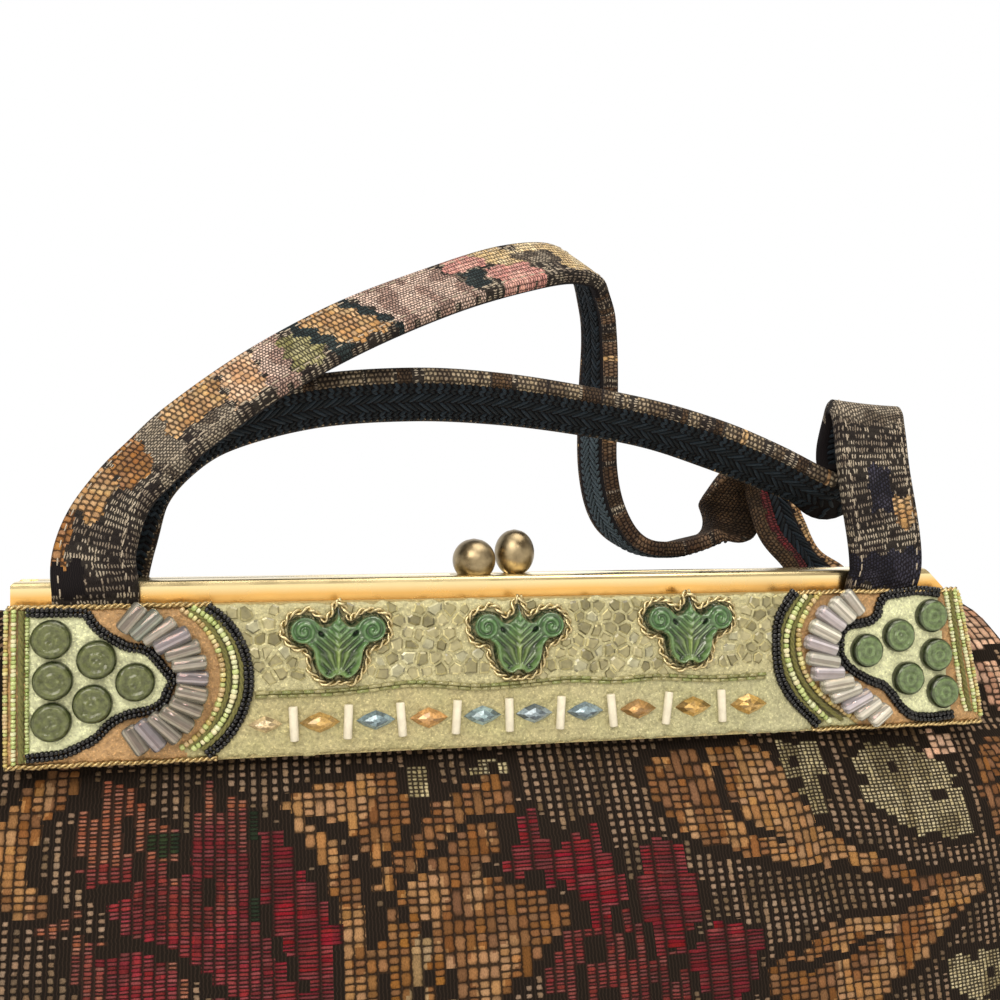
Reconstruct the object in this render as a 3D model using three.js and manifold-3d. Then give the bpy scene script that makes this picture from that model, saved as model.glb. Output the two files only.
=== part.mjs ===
// A tapestry handbag on a gilt kiss-lock frame, with two strap handles and a beaded front panel.
// Millimetres, +Z up. The bag stands on its base at z = 0, its front faces -Y and its right is +X.
import * as THREE from 'three';
import { mergeVertices } from 'three/addons/utils/BufferGeometryUtils.js';
import Module from 'manifold-3d';

const wasm = await Module();
wasm.setup();

// Driving dimensions
const GAP = 0.3; // play between neighbouring pieces
const CLOTH = 2; // thickness of the tapestry walls
const PANEL_TOP = 204.5; // height of the beaded panel's top edge
const PANEL_HEIGHT = 36.5;
const PANEL_FRONT = -12; // face of the panel that carries the beads
const PANEL_EDGE = { leftTop: -120.2, leftFoot: -120.6, rightTop: 122.6, rightFoot: 130.2 };
const BACK_PANEL = { halfWidth: 120, thickness: 2.4 };
const FRAME_DEPTH = 7; // from the bag's middle plane to the outside of one frame half
const RAIL = { left: -120, right: 121.5, height: 5.5, tuck: 1, round: 1.4, bevel: 0.5 }; // shows above the panel
const RAIL_SLANT = { left: 1, right: 5.5 }; // corners cut off the rail's ends
const PLATE = { halfWidth: 118, thickness: 1.2 }; // sheet metal that carries the panel
const HINGE = { x: 115.5, z: 207, eye: 2.9, pin: 1, ear: 1.7 }; // knuckles between the rails' ends
const STRAP_WIDTH = 19.5;
const STRAP = 4; // thickness of a handle
const STRAP_END = 1.7; // a handle's flattened end, under the panel
const POCKET = { x: 101, width: 20.4, depth: 9.5, back: -9.7 }; // slots for the front strap ends
const BALLS = table(['name', 'x', 'y', 'z', 'radius', 'stretch'], [
  ['clasp_ball_front', -9.6, -1.6, 213.6, 5.3, 1],
  ['clasp_ball_back', 1.8, 1.6, 215.2, 5.1, 1.16],
]);

// Half width and half depth of the bag at each height, outside the cloth
const BODY = table(['z', 'halfWidth', 'halfDepth'], [
  [2.3, 134, 38], [9, 143, 46], [24, 149.5, 48.5], [60, 155, 47.5], [95, 158, 43], [125, 158, 35],
  [146, 156.5, 25], [158, 155, 15.5], [167.6, 153, 5.5], [178, 150, 5.4], [188, 145.5, 5.4],
  [195.5, 138.5, 5.4], [200.3, 131.5, 5.2], [203, 124, 4.4],
]);
const ROUNDNESS = 2.6; // 2 is an ellipse, more is squarer
const SEAM_ANGLE = 0.61; // where the front and back meet the gussets, in radians from the side
const BODY_RINGS = 17;
const WALL_COLUMNS = 20;
const GUSSET_COLUMNS = 8;

// Soft folds that the frame draws into the cloth under it
const FOLDS = table(['x', 'depth', 'width', 'top', 'bottom'], [
  [80, 3.6, 8, 167, 88], [-84, 2.6, 9, 166, 96], [-34, 1.8, 11, 164, 112], [27, 2, 10, 165, 104],
]);

// The handles' routes: middle of the strap, the way across it, and its thickness there
const ROUTE = ['x', 'y', 'z', 'acrossX', 'acrossY', 'acrossZ', 'thick'];
const UPPER_HANDLE = table(ROUTE, [
  [-101, -8.5, 196, -1, 0, 0, STRAP_END], [-101, -8.5, 204.6, -1, 0, 0, STRAP_END],
  [-101, -9.5, 209, -1, 0, 0, 3.4], [-101.5, -9.8, 215, -0.95, 0.3, 0.05, STRAP],
  [-99.5, -9, 223, -0.86, 0.48, 0.15, STRAP], [-95, -8, 231.5, -0.58, 0.72, 0.38, STRAP],
  [-88.5, -6, 238.5, -0.51, 0.74, 0.44, STRAP], [-80.5, -4, 246.5, -0.46, 0.75, 0.48, STRAP],
  [-62.5, -1, 260, -0.36, 0.75, 0.56, STRAP], [-40.5, 3, 273, -0.23, 0.75, 0.62, STRAP],
  [-16.5, 9, 284, -0.13, 0.78, 0.61, STRAP], [5, 16, 292, -0.03, 0.77, 0.64, STRAP],
  [20.5, 23, 295.5, 0.17, 0.86, 0.49, STRAP], [31.5, 30, 295, 0.14, 0.98, 0.14, STRAP],
  [35, 35, 288, 0, 1, 0, STRAP], [36.2, 37, 276, -0.08, 1, 0.05, STRAP],
  [36, 37.5, 258, -0.16, 0.98, 0.05, STRAP], [35.7, 37, 238, -0.14, 0.99, -0.04, STRAP],
  [39, 36.5, 224, -0.1, 0.99, -0.1, STRAP], [46.5, 36, 216, 0, 1, 0, STRAP],
  [57, 36, 213.8, -0.05, 1, 0, STRAP], [67, 35.5, 215.5, -0.45, 0.88, 0.1, STRAP],
  [73.5, 33.5, 223, -0.85, 0.5, 0.3, STRAP], [77, 29.5, 234, -0.97, 0.12, 0.1, STRAP],
  [81, 25.5, 232.5, -0.85, -0.2, -0.4, STRAP], [86.5, 21, 221.5, -0.7, -0.5, -0.5, STRAP],
  [92, 16.7, 211.5, -0.8, -0.45, -0.4, STRAP], [97, 12.8, 202, -0.98, 0, -0.1, STRAP],
  [99, 12.2, 188, -1, 0, 0, STRAP],
]);
const LOWER_HANDLE = table(ROUTE, [
  [-101, 12.2, 188, 1, 0, 0, STRAP], [-101, 12.2, 204, 1, 0, 0, STRAP],
  [-99.5, 13, 216, 0.99, 0.1, 0, STRAP], [-93.5, 14, 232, 0.66, 0.62, -0.42, STRAP],
  [-82.5, 15, 242.5, 0.36, 0.82, -0.45, STRAP], [-70, 15.5, 249, 0.24, 0.86, -0.45, STRAP],
  [-48, 16, 254.8, 0.17, 0.86, -0.48, STRAP], [-22, 16, 257, 0.15, 0.85, -0.5, STRAP],
  [1, 16, 256.2, 0.16, 0.86, -0.49, STRAP], [23, 15, 253.5, 0.14, 0.88, -0.46, STRAP],
  [44, 12.5, 249.5, 0.12, 0.89, -0.44, STRAP], [61.5, 10, 244, 0.1, 0.88, -0.46, STRAP],
  [76.5, 8, 238, 0.1, 0.9, -0.42, STRAP], [89, 7, 232.5, 0.14, 0.93, -0.35, STRAP],
  [96, 8.5, 230.5, 0.5, 0.74, -0.43, STRAP], [100, 9, 234, 0.88, 0.45, -0.15, STRAP],
  [101.5, 7.5, 243.5, 1, 0.05, 0, STRAP], [101.5, 1.5, 253, 1, 0, -0.08, STRAP],
  [99, -6.5, 250.5, 1, 0, -0.08, STRAP], [98.5, -10, 236, 1, 0, -0.05, STRAP],
  [100.5, -10.3, 218, 1, 0, 0, STRAP], [101, -9.5, 209, 1, 0, 0, 3.4],
  [101, -8.5, 204.6, 1, 0, 0, STRAP_END], [101, -8.5, 196, 1, 0, 0, STRAP_END],
]);
const STEPS_PER_ROW = 2; // strap sections from one row of a route to the next

// What sits on the front panel: x from its middle, and drop below its top edge
const DISC = { radius: 4.5, height: 2.9, sides: 10 };
const DISCS = table(['name', 'x', 'drop'], [
  ['disc_left_1', -110.2, 7.1], ['disc_left_2', -109.9, 16.5], ['disc_left_3', -110.2, 25.9],
  ['disc_left_4', -100.4, 12], ['disc_left_5', -101.3, 22.1], ['disc_left_6', -91.9, 17.4],
  ['disc_right_1', 113.8, 6.8], ['disc_right_2', 115.3, 17.3], ['disc_right_3', 117.3, 27.3],
  ['disc_right_4', 104, 11.8], ['disc_right_5', 106.9, 23.4], ['disc_right_6', 94.6, 15.6],
]);
const FANS = table(['name', 'x', 'drop', 'facing', 'tilt', 'bugles'], [
  ['bugle_fan_left', -93, 17.5, 1, 0, 13], ['bugle_fan_right', 95.2, 16.4, -1, 0.12, 12],
]);
const FAN = { inner: 9.8, outer: 17, spread: 1.13, bugle: 1.1, backing: 0.8 };
const ORNAMENTS = table(['name', 'x', 'drop'], [
  ['ornament_left', -45.3, 10.2], ['ornament_middle', -0.8, 10.3], ['ornament_right', 44.2, 9.4],
]);
const LEAF = { spike: 8.8, depth: 2, scroll: { x: 8.3, y: 3.7, radius: 3.5 } }; // an ornament's outline
const LEAF_BOSSES = table(['x', 'y', 'wide', 'tall', 'rise'], [
  [8.3, 3.7, 2.4, 2.4, 1.8], [-8.3, 3.7, 2.4, 2.4, 1.8], [0, -1.6, 1.6, 6.2, 1.8],
  [3.3, -5, 1.7, 3, 1.6], [-3.3, -5, 1.7, 3, 1.6],
]);
const ROW_DROP = 28.6; // the row of crystals and white bugles along the panel's foot
const CRYSTALS = table(['name', 'x', 'length', 'height', 'tone'], [
  ['crystal_1', -62.4, 6.8, 3.2, 0xc9a25a], ['crystal_2', -49.6, 8.6, 4.2, 0xc9a25a],
  ['crystal_3', -36.2, 8.8, 4.2, 0x5f7f96], ['crystal_4', -23.2, 8.8, 4.3, 0xc98f4e],
  ['crystal_5', -9.8, 8.8, 4.3, 0x6d8ea3], ['crystal_6', 3.4, 8.8, 4.3, 0x6d8ea3],
  ['crystal_7', 16.6, 8.9, 4.3, 0x5f7f96], ['crystal_8', 30.7, 9, 4.4, 0xc98f4e],
  ['crystal_9', 45.6, 9.2, 4.5, 0xc9a25a], ['crystal_10', 61, 9.6, 4.7, 0xc9a25a],
]);
const CRYSTAL_RISE = 2.4;
const WHITE_BUGLE = { length: 8.2, radius: 1.1, sides: 10 };
const WHITE_BUGLES = table(['name', 'x', 'tilt'], [
  ['bugle_1', -55.8, 0.05], ['bugle_2', -42.9, -0.03], ['bugle_3', -30, 0.08],
  ['bugle_4', -16.4, -0.06], ['bugle_5', -3.1, 0.02], ['bugle_6', 10.1, -0.05],
  ['bugle_7', 23.6, 0.1], ['bugle_8', 38.4, -0.12], ['bugle_9', 53.3, 0.04],
]);

// Finishes
const GILT = finish(0xd9ab5c, 0.28, 1);
const PEWTER = finish(0xb9ad9c, 0.3, 1);
const TAPESTRY = finish(0x4a3328, 0.95, 0);
const PALE_GREEN = finish(0xb3b585, 0.7, 0);
const GREEN_GLASS = finish(0x3f6b4a, 0.12, 0);
const DISC_GLASS = finish(0x6f8457, 0.2, 0);
const CLEAR_GLASS = finish(0xc9c3c8, 0.1, 0);
const WHITE_GLASS = finish(0xe6e2da, 0.2, 0);

function table(columns, rows) {
  return rows.map((row) => Object.fromEntries(columns.map((name, i) => [name, row[i]])));
}

function finish(color, roughness, metalness) {
  return new THREE.MeshStandardMaterial({ color, roughness, metalness });
}

// A mesh from its corners and triangles, with its faces pointing out
function closedGeometry(points, triangles) {
  let volume = 0;
  const cross = new THREE.Vector3();
  for (const [a, b, c] of triangles) {
    volume += points[a].dot(cross.crossVectors(points[b], points[c]));
  }
  const facing = volume < 0 ? triangles.map(([a, b, c]) => [a, c, b]) : triangles;
  const geometry = new THREE.BufferGeometry();
  geometry.setAttribute('position', new THREE.Float32BufferAttribute(points.flatMap((p) => p.toArray()), 3));
  geometry.setIndex(facing.flat());
  return geometry;
}

// Boolean joins and cuts
function toSolid(geometry) {
  const bare = geometry.clone();
  bare.deleteAttribute('normal');
  bare.deleteAttribute('uv');
  const merged = mergeVertices(bare, 1e-3);
  const vertProperties = new Float32Array(merged.attributes.position.array);
  const triVerts = new Uint32Array(merged.index.array);
  return new wasm.Manifold(new wasm.Mesh({ numProp: 3, vertProperties, triVerts }));
}

function toGeometry(solid) {
  const mesh = solid.getMesh();
  const geometry = new THREE.BufferGeometry();
  geometry.setAttribute('position', new THREE.Float32BufferAttribute(mesh.vertProperties, 3));
  geometry.setIndex(Array.from(mesh.triVerts));
  return geometry;
}

function join(geometries) {
  return toGeometry(geometries.map(toSolid).reduce((whole, piece) => whole.add(piece)));
}

function cut(geometry, tools) {
  return toGeometry(tools.map(toSolid).reduce((left, tool) => left.subtract(tool), toSolid(geometry)));
}

// A box from its lowest to its highest corner
function box(low, high) {
  const size = high.map((v, i) => v - low[i]);
  const middle = high.map((v, i) => (v + low[i]) / 2);
  return new THREE.BoxGeometry(...size).translate(...middle);
}

// Smooth value of a column of a table at height z
function columnAt(rows, column, z) {
  const last = rows.length - 1;
  const i = Math.max(0, Math.min(last - 1, rows.findIndex((row) => row.z > z) - 1));
  const upper = z >= rows[last].z ? last - 1 : i;
  const from = rows[upper];
  const to = rows[upper + 1];
  const share = Math.min(1, Math.max(0, (z - from.z) / (to.z - from.z)));
  return from[column] + (to[column] - from[column]) * share;
}

// A point on the bag's loop at height z, inset from the outside of the cloth
function bodyPoint(angle, z, inset) {
  const a = columnAt(BODY, 'halfWidth', z) - inset;
  const b = columnAt(BODY, 'halfDepth', z) - inset;
  const power = 2 / ROUNDNESS;
  const cos = Math.cos(angle);
  const sin = Math.sin(angle);
  const x = a * Math.sign(cos) * Math.abs(cos) ** power;
  const y = -b * Math.sign(sin) * Math.abs(sin) ** power;
  return new THREE.Vector3(x, y - Math.sign(y) * foldDepth(x, z), z);
}

// How far the folds draw the cloth in
function foldDepth(x, z) {
  return FOLDS.reduce((depth, fold) => {
    const down = (fold.top - z) / (fold.top - fold.bottom);
    if (down <= 0 || down >= 1) {
      return depth;
    }
    const along = Math.sin(Math.PI * Math.sqrt(down)) ** 2;
    return depth + fold.depth * along * Math.exp(-(((x - fold.x) / fold.width) ** 2));
  }, 0);
}

// Heights of the rings: every row of the table, with the long stretches divided
function ringHeights() {
  const heights = BODY.map((row) => row.z);
  while (heights.length < BODY_RINGS) {
    let widest = 1;
    for (let i = 1; i < heights.length; i += 1) {
      if (heights[i] < PANEL_TOP - PANEL_HEIGHT && heights[i] - heights[i - 1] > heights[widest] - heights[widest - 1]) {
        widest = i;
      }
    }
    heights.splice(widest, 0, (heights[widest] + heights[widest - 1]) / 2);
  }
  return heights;
}

// A cloth wall between two angles of the loop, from the base to the frame
function clothWall(fromAngle, toAngle, columns) {
  const heights = ringHeights();
  const points = [];
  for (const inset of [0, CLOTH]) {
    for (const z of heights) {
      for (let i = 0; i <= columns; i += 1) {
        points.push(bodyPoint(fromAngle + ((toAngle - fromAngle) * i) / columns, z, inset));
      }
    }
  }
  const across = columns + 1;
  const layer = heights.length * across;
  const triangles = [];
  const quad = (a, b, c, d) => triangles.push([a, b, c], [a, c, d]);
  for (let j = 0; j + 1 < heights.length; j += 1) {
    for (let i = 0; i < columns; i += 1) {
      const k = j * across + i;
      quad(k, k + 1, k + across + 1, k + across);
      quad(layer + k, layer + k + across, layer + k + across + 1, layer + k + 1);
    }
  }
  const top = layer - across;
  for (let i = 0; i < columns; i += 1) {
    quad(i, layer + i, layer + i + 1, i + 1);
    quad(top + i, top + i + 1, layer + top + i + 1, layer + top + i);
  }
  for (let j = 0; j + 1 < heights.length; j += 1) {
    const left = j * across;
    const right = left + columns;
    quad(left, left + across, layer + left + across, layer + left);
    quad(right, layer + right, layer + right + across, right + across);
  }
  return closedGeometry(points, triangles);
}

// The flat base, inside the foot of the walls
function baseGeometry() {
  const sides = 48;
  const outline = new THREE.Shape();
  for (let i = 0; i < sides; i += 1) {
    const p = bodyPoint((2 * Math.PI * i) / sides, BODY[0].z, 0);
    outline[i === 0 ? 'moveTo' : 'lineTo'](p.x, p.y);
  }
  return new THREE.ExtrudeGeometry(outline, { depth: BODY[0].z - GAP, bevelEnabled: false });
}

// A strap swept along its route, with rounded edges
function strapGeometry(rows) {
  const vectors = (keys) => rows.map((row) => new THREE.Vector3(...keys.map((key) => row[key])));
  const middle = new THREE.CatmullRomCurve3(vectors(['x', 'y', 'z']), false, 'catmullrom', 0.5);
  const across = new THREE.CatmullRomCurve3(vectors(['acrossX', 'acrossY', 'acrossZ']), false, 'catmullrom', 0.5);
  const section = [[-1, 0], [-0.93, -1], [0.93, -1], [1, 0], [0.93, 1], [-0.93, 1]];
  const steps = (rows.length - 1) * STEPS_PER_ROW;
  const points = [];
  const triangles = [];
  for (let k = 0; k <= steps; k += 1) {
    const t = k / steps;
    const centre = middle.getPoint(t);
    const along = middle.getTangent(t);
    const side = across.getPoint(t);
    side.addScaledVector(along, -side.dot(along)).normalize();
    const face = new THREE.Vector3().crossVectors(along, side);
    const row = Math.min(rows.length - 2, Math.floor(k / STEPS_PER_ROW));
    const thick = THREE.MathUtils.lerp(rows[row].thick, rows[row + 1].thick, k / STEPS_PER_ROW - row);
    for (const [u, v] of section) {
      const p = centre.clone().addScaledVector(side, (u * STRAP_WIDTH) / 2);
      points.push(p.addScaledVector(face, (v * thick) / 2));
    }
  }
  const n = section.length;
  for (let k = 0; k < steps; k += 1) {
    for (let i = 0; i < n; i += 1) {
      const a = k * n + i;
      const b = k * n + ((i + 1) % n);
      triangles.push([a, b, b + n], [a, b + n, a + n]);
    }
  }
  for (let i = 1; i + 1 < n; i += 1) {
    triangles.push([0, i + 1, i], [steps * n, steps * n + i, steps * n + i + 1]);
  }
  return closedGeometry(points, triangles);
}

// A solid whose outline is drawn on the x and z axes, from one depth to another
function fromFront(outline, near, far) {
  const slab = new THREE.ExtrudeGeometry(outline, { depth: far - near, bevelEnabled: false });
  return slab.rotateX(Math.PI / 2).translate(0, far, 0);
}

// A solid whose outline is drawn on the y and z axes, from one x to another
function fromSide(outline, left, right, curveSegments) {
  const bar = new THREE.ExtrudeGeometry(outline, { depth: right - left, bevelEnabled: false, curveSegments });
  return bar.applyMatrix4(new THREE.Matrix4().set(0, 0, 1, left, 1, 0, 0, 0, 0, 1, 0, 0, 0, 0, 0, 1));
}

// One half of the frame: rail, plate and hinge knuckles, with seats for the clasp balls
function frameHalf(facing) {
  const top = PANEL_TOP + RAIL.height;
  const rail = new THREE.Shape();
  rail.moveTo(GAP, PANEL_TOP - RAIL.tuck);
  rail.lineTo(FRAME_DEPTH, PANEL_TOP - RAIL.tuck);
  rail.lineTo(FRAME_DEPTH, top - RAIL.round);
  rail.quadraticCurveTo(FRAME_DEPTH, top, FRAME_DEPTH - RAIL.round, top);
  rail.lineTo(GAP + RAIL.bevel, top);
  rail.lineTo(GAP, top - RAIL.bevel);
  rail.closePath();
  const plate = box(
    [-PLATE.halfWidth, FRAME_DEPTH - PLATE.thickness, PANEL_TOP - PANEL_HEIGHT + GAP],
    [PLATE.halfWidth, FRAME_DEPTH, PANEL_TOP],
  );
  const bar = cut(join([fromSide(rail, RAIL.left, RAIL.right, 4), plate]), [...railEndCuts(), ...ballSeats(facing)]);
  const knuckle = hingeKnuckle(facing);
  const half = join([bar, knuckle, mirrored(knuckle, [-1, 1, 1])]);
  return facing > 0 ? half : mirrored(half, [1, -1, 1]);
}

// What comes off the rail's ends: the slanted corners, and the room for both knuckles
function railEndCuts() {
  const top = PANEL_TOP + RAIL.height;
  const corner = (x, inwards) => new THREE.Shape([
    new THREE.Vector2(x, top - Math.abs(inwards)),
    new THREE.Vector2(x, top + GAP),
    new THREE.Vector2(x + inwards, top + GAP),
    new THREE.Vector2(x + inwards, top),
  ]);
  const room = HINGE.eye + 2 * GAP;
  const reach = RAIL.right + 1;
  return [
    fromFront(corner(RAIL.left - GAP, RAIL_SLANT.left), 0, FRAME_DEPTH + 1),
    fromFront(corner(RAIL.right + GAP, -RAIL_SLANT.right), 0, FRAME_DEPTH + 1),
    box([HINGE.x - GAP, 0, HINGE.z - room - 1], [reach, room, HINGE.z + room]),
    box([-reach, 0, HINGE.z - room - 1], [GAP - HINGE.x, room, HINGE.z + room]),
  ];
}

function ballSeats(facing) {
  return BALLS.map((ball) => ballGeometry(ball, GAP).translate(ball.x, facing * ball.y, ball.z));
}

// The right-hand knuckle of one half: a plate with the pin's eye, which reaches the middle plane
function hingeKnuckle(facing) {
  const start = facing < 0 ? HINGE.x : HINGE.x + HINGE.ear + GAP;
  const eye = new THREE.Shape();
  eye.moveTo(FRAME_DEPTH - GAP, HINGE.z - HINGE.eye);
  eye.lineTo(FRAME_DEPTH - GAP, HINGE.z + HINGE.eye / 2);
  eye.lineTo(0, HINGE.z + HINGE.eye);
  eye.absarc(0, HINGE.z, HINGE.eye, Math.PI / 2, (3 * Math.PI) / 2, false);
  eye.closePath();
  const hole = new THREE.Path();
  hole.absarc(0, HINGE.z, HINGE.pin + GAP, 0, 2 * Math.PI, true);
  eye.holes.push(hole);
  return fromSide(eye, start, start + HINGE.ear, 6);
}

// The same piece on the other side of a middle plane, with its faces still pointing out
function mirrored(geometry, flip) {
  const other = mergeVertices(geometry).scale(...flip);
  const index = Array.from(other.index.array);
  for (let i = 0; i < index.length; i += 3) {
    [index[i + 1], index[i + 2]] = [index[i + 2], index[i + 1]];
  }
  other.setIndex(index);
  return other;
}

function ballGeometry(ball, extra) {
  return new THREE.SphereGeometry(ball.radius + extra, 14, 9).rotateX(Math.PI / 2).scale(1, 1, ball.stretch);
}

function pinGeometry() {
  return new THREE.CylinderGeometry(HINGE.pin, HINGE.pin, 2 * HINGE.ear + GAP, 12).rotateZ(Math.PI / 2);
}

// The stiff front panel, wider at its lower right corner, with slots behind it for the strap ends
function frontPanelGeometry() {
  const foot = PANEL_TOP - PANEL_HEIGHT;
  const outline = new THREE.Shape([
    new THREE.Vector2(PANEL_EDGE.leftTop, PANEL_TOP),
    new THREE.Vector2(PANEL_EDGE.leftFoot, foot),
    new THREE.Vector2(PANEL_EDGE.rightFoot, foot),
    new THREE.Vector2(PANEL_EDGE.rightTop, PANEL_TOP),
  ]);
  const back = -FRAME_DEPTH - GAP;
  const slots = [-POCKET.x, POCKET.x].map((x) => box(
    [x - POCKET.width / 2, POCKET.back, PANEL_TOP - POCKET.depth],
    [x + POCKET.width / 2, back + 1, PANEL_TOP + 1],
  ));
  return cut(fromFront(outline, PANEL_FRONT, back), slots);
}

function backPanelGeometry() {
  const inside = FRAME_DEPTH + GAP;
  return box(
    [-BACK_PANEL.halfWidth, inside, PANEL_TOP - PANEL_HEIGHT],
    [BACK_PANEL.halfWidth, inside + BACK_PANEL.thickness, PANEL_TOP],
  );
}

// A domed glass disc with a ring pressed into its top
function discGeometry() {
  const { radius, height, sides } = DISC;
  const profile = [[0, 0], [radius, 0], [radius, 0.5 * height], [0.75 * radius, height],
    [0.45 * radius, 0.88 * height], [0, height]];
  const points = profile.map(([r, h]) => new THREE.Vector2(r, h));
  return new THREE.LatheGeometry(points, sides).rotateX(Math.PI / 2);
}

// Glass bugles laid out like rays on one curved backing
function fanGeometry({ facing, tilt, bugles }) {
  const start = -FAN.spread;
  const backing = new THREE.Shape();
  backing.absarc(0, 0, FAN.outer + 0.3, start, FAN.spread, false);
  backing.absarc(0, 0, FAN.inner - 0.3, FAN.spread, start, true);
  backing.closePath();
  const plate = new THREE.ExtrudeGeometry(backing, { depth: FAN.backing, bevelEnabled: false, curveSegments: 7 });
  const pieces = [plate];
  const length = FAN.outer - FAN.inner;
  for (let i = 0; i < bugles; i += 1) {
    const angle = start + (2 * FAN.spread * (i + 0.5)) / bugles;
    const ray = new THREE.CylinderGeometry(FAN.bugle, FAN.bugle, length, 10).rotateZ(Math.PI / 2);
    ray.translate((FAN.inner + FAN.outer) / 2, 0, FAN.backing + 0.6 * FAN.bugle);
    pieces.push(ray.rotateZ(angle));
  }
  const fan = join(pieces);
  return facing > 0 ? fan : fan.rotateZ(Math.PI - tilt);
}

// A carved leaf of glass with two scrolls, a spike above and two lobes below
function ornamentGeometry() {
  const { scroll, spike, depth } = LEAF;
  const edge = new THREE.Path();
  edge.moveTo(0, spike);
  edge.quadraticCurveTo(1, 6.6, 3, 4.6);
  edge.quadraticCurveTo(4.2, 6.8, scroll.x, scroll.y + scroll.radius);
  edge.absarc(scroll.x, scroll.y, scroll.radius, Math.PI / 2, -Math.PI / 3, true);
  edge.quadraticCurveTo(7.4, -0.3, 6.5, -2);
  edge.quadraticCurveTo(7.4, -4.6, 5.6, -7.2);
  edge.quadraticCurveTo(3, -9.6, 0, -7.2);
  const right = edge.getPoints(3);
  const left = right.slice(1, -1).reverse().map((p) => new THREE.Vector2(-p.x, p.y));
  const leaf = new THREE.ExtrudeGeometry(new THREE.Shape([...right, ...left]), { depth, bevelEnabled: false });
  const bosses = LEAF_BOSSES.map((boss) => (
    new THREE.SphereGeometry(1, 8, 4).scale(boss.wide, boss.tall, boss.rise).translate(boss.x, boss.y, depth)
  ));
  return join([leaf, ...bosses]);
}

// A lozenge crystal with a girdle, eight crown facets and a table
function crystalGeometry({ length, height }) {
  const ring = (scale, h) => {
    const u = (scale * length) / 2;
    const v = (scale * height) / 2;
    return [[u, 0], [0.55 * u, 0.55 * v], [0, v], [-0.55 * u, 0.55 * v],
      [-u, 0], [-0.55 * u, -0.55 * v], [0, -v], [0.55 * u, -0.55 * v]].map(([p, q]) => new THREE.Vector3(p, q, h));
  };
  const points = [...ring(0.8, 0), ...ring(1, 0.35 * CRYSTAL_RISE), ...ring(0.5, CRYSTAL_RISE)];
  const sides = 8;
  const triangles = [];
  for (const k of [0, sides]) {
    for (let i = 0; i < sides; i += 1) {
      const j = (i + 1) % sides;
      triangles.push([k + i, k + j, k + sides + j], [k + i, k + sides + j, k + sides + i]);
    }
  }
  for (let i = 1; i + 1 < sides; i += 1) {
    triangles.push([0, i + 1, i], [2 * sides, 2 * sides + i, 2 * sides + i + 1]);
  }
  return closedGeometry(points, triangles);
}

function bugleGeometry() {
  const { length, radius, sides } = WHITE_BUGLE;
  return new THREE.CylinderGeometry(radius, radius, length, sides).translate(0, 0, radius);
}

// Assembly
const bag = new THREE.Group();

function piece(name, geometry, material) {
  const mesh = new THREE.Mesh(geometry, material);
  mesh.name = name;
  bag.add(mesh);
  return mesh;
}

// A piece built lying face up, stood on the face of the front panel
function onPanel(name, geometry, material, x, drop, turn = 0) {
  const mesh = piece(name, geometry.rotateZ(turn), material);
  mesh.rotation.x = Math.PI / 2;
  mesh.position.set(x, PANEL_FRONT - GAP, PANEL_TOP - drop);
}

piece('body_front', clothWall(SEAM_ANGLE, Math.PI - SEAM_ANGLE, WALL_COLUMNS), TAPESTRY);
piece('gusset_left', clothWall(Math.PI - SEAM_ANGLE, Math.PI + SEAM_ANGLE, GUSSET_COLUMNS), TAPESTRY);
piece('body_back', clothWall(Math.PI + SEAM_ANGLE, 2 * Math.PI - SEAM_ANGLE, WALL_COLUMNS), TAPESTRY);
piece('gusset_right', clothWall(-SEAM_ANGLE, SEAM_ANGLE, GUSSET_COLUMNS), TAPESTRY);
piece('base', baseGeometry(), TAPESTRY);

piece('frame_front', frameHalf(-1), GILT);
piece('frame_back', frameHalf(1), GILT);
for (const side of [-1, 1]) {
  const pin = piece(side < 0 ? 'hinge_pin_left' : 'hinge_pin_right', pinGeometry(), GILT);
  pin.position.set(side * (HINGE.x + HINGE.ear + GAP), 0, HINGE.z);
}
for (const ball of BALLS) {
  piece(ball.name, ballGeometry(ball, 0), PEWTER).position.set(ball.x, ball.y, ball.z);
}

piece('handle_upper', strapGeometry(UPPER_HANDLE), TAPESTRY);
piece('handle_lower', strapGeometry(LOWER_HANDLE), TAPESTRY);

piece('front_panel', frontPanelGeometry(), PALE_GREEN);
piece('back_panel', backPanelGeometry(), PALE_GREEN);
for (const fan of FANS) {
  onPanel(fan.name, fanGeometry(fan), CLEAR_GLASS, fan.x, fan.drop);
}
for (const disc of DISCS) {
  onPanel(disc.name, discGeometry(), DISC_GLASS, disc.x, disc.drop);
}
for (const ornament of ORNAMENTS) {
  onPanel(ornament.name, ornamentGeometry(), GREEN_GLASS, ornament.x, ornament.drop);
}
for (const crystal of CRYSTALS) {
  onPanel(crystal.name, crystalGeometry(crystal), finish(crystal.tone, 0.08, 0), crystal.x, ROW_DROP);
}
for (const bugle of WHITE_BUGLES) {
  onPanel(bugle.name, bugleGeometry(), WHITE_GLASS, bugle.x, ROW_DROP, bugle.tilt);
}

export default bag;
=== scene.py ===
"""A tapestry handbag on a gilt kiss-lock frame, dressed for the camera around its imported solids.

Lengths in this script are millimetres, +Z is up and the beaded front faces -Y. On the front panel a place is
given by x from the bag's middle, y up from the panel's top edge and the height out of the panel's face.
"""

from __future__ import annotations

import logging
import math
from collections.abc import Callable, Sequence
from dataclasses import dataclass, field
from enum import Enum
from functools import partial

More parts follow.
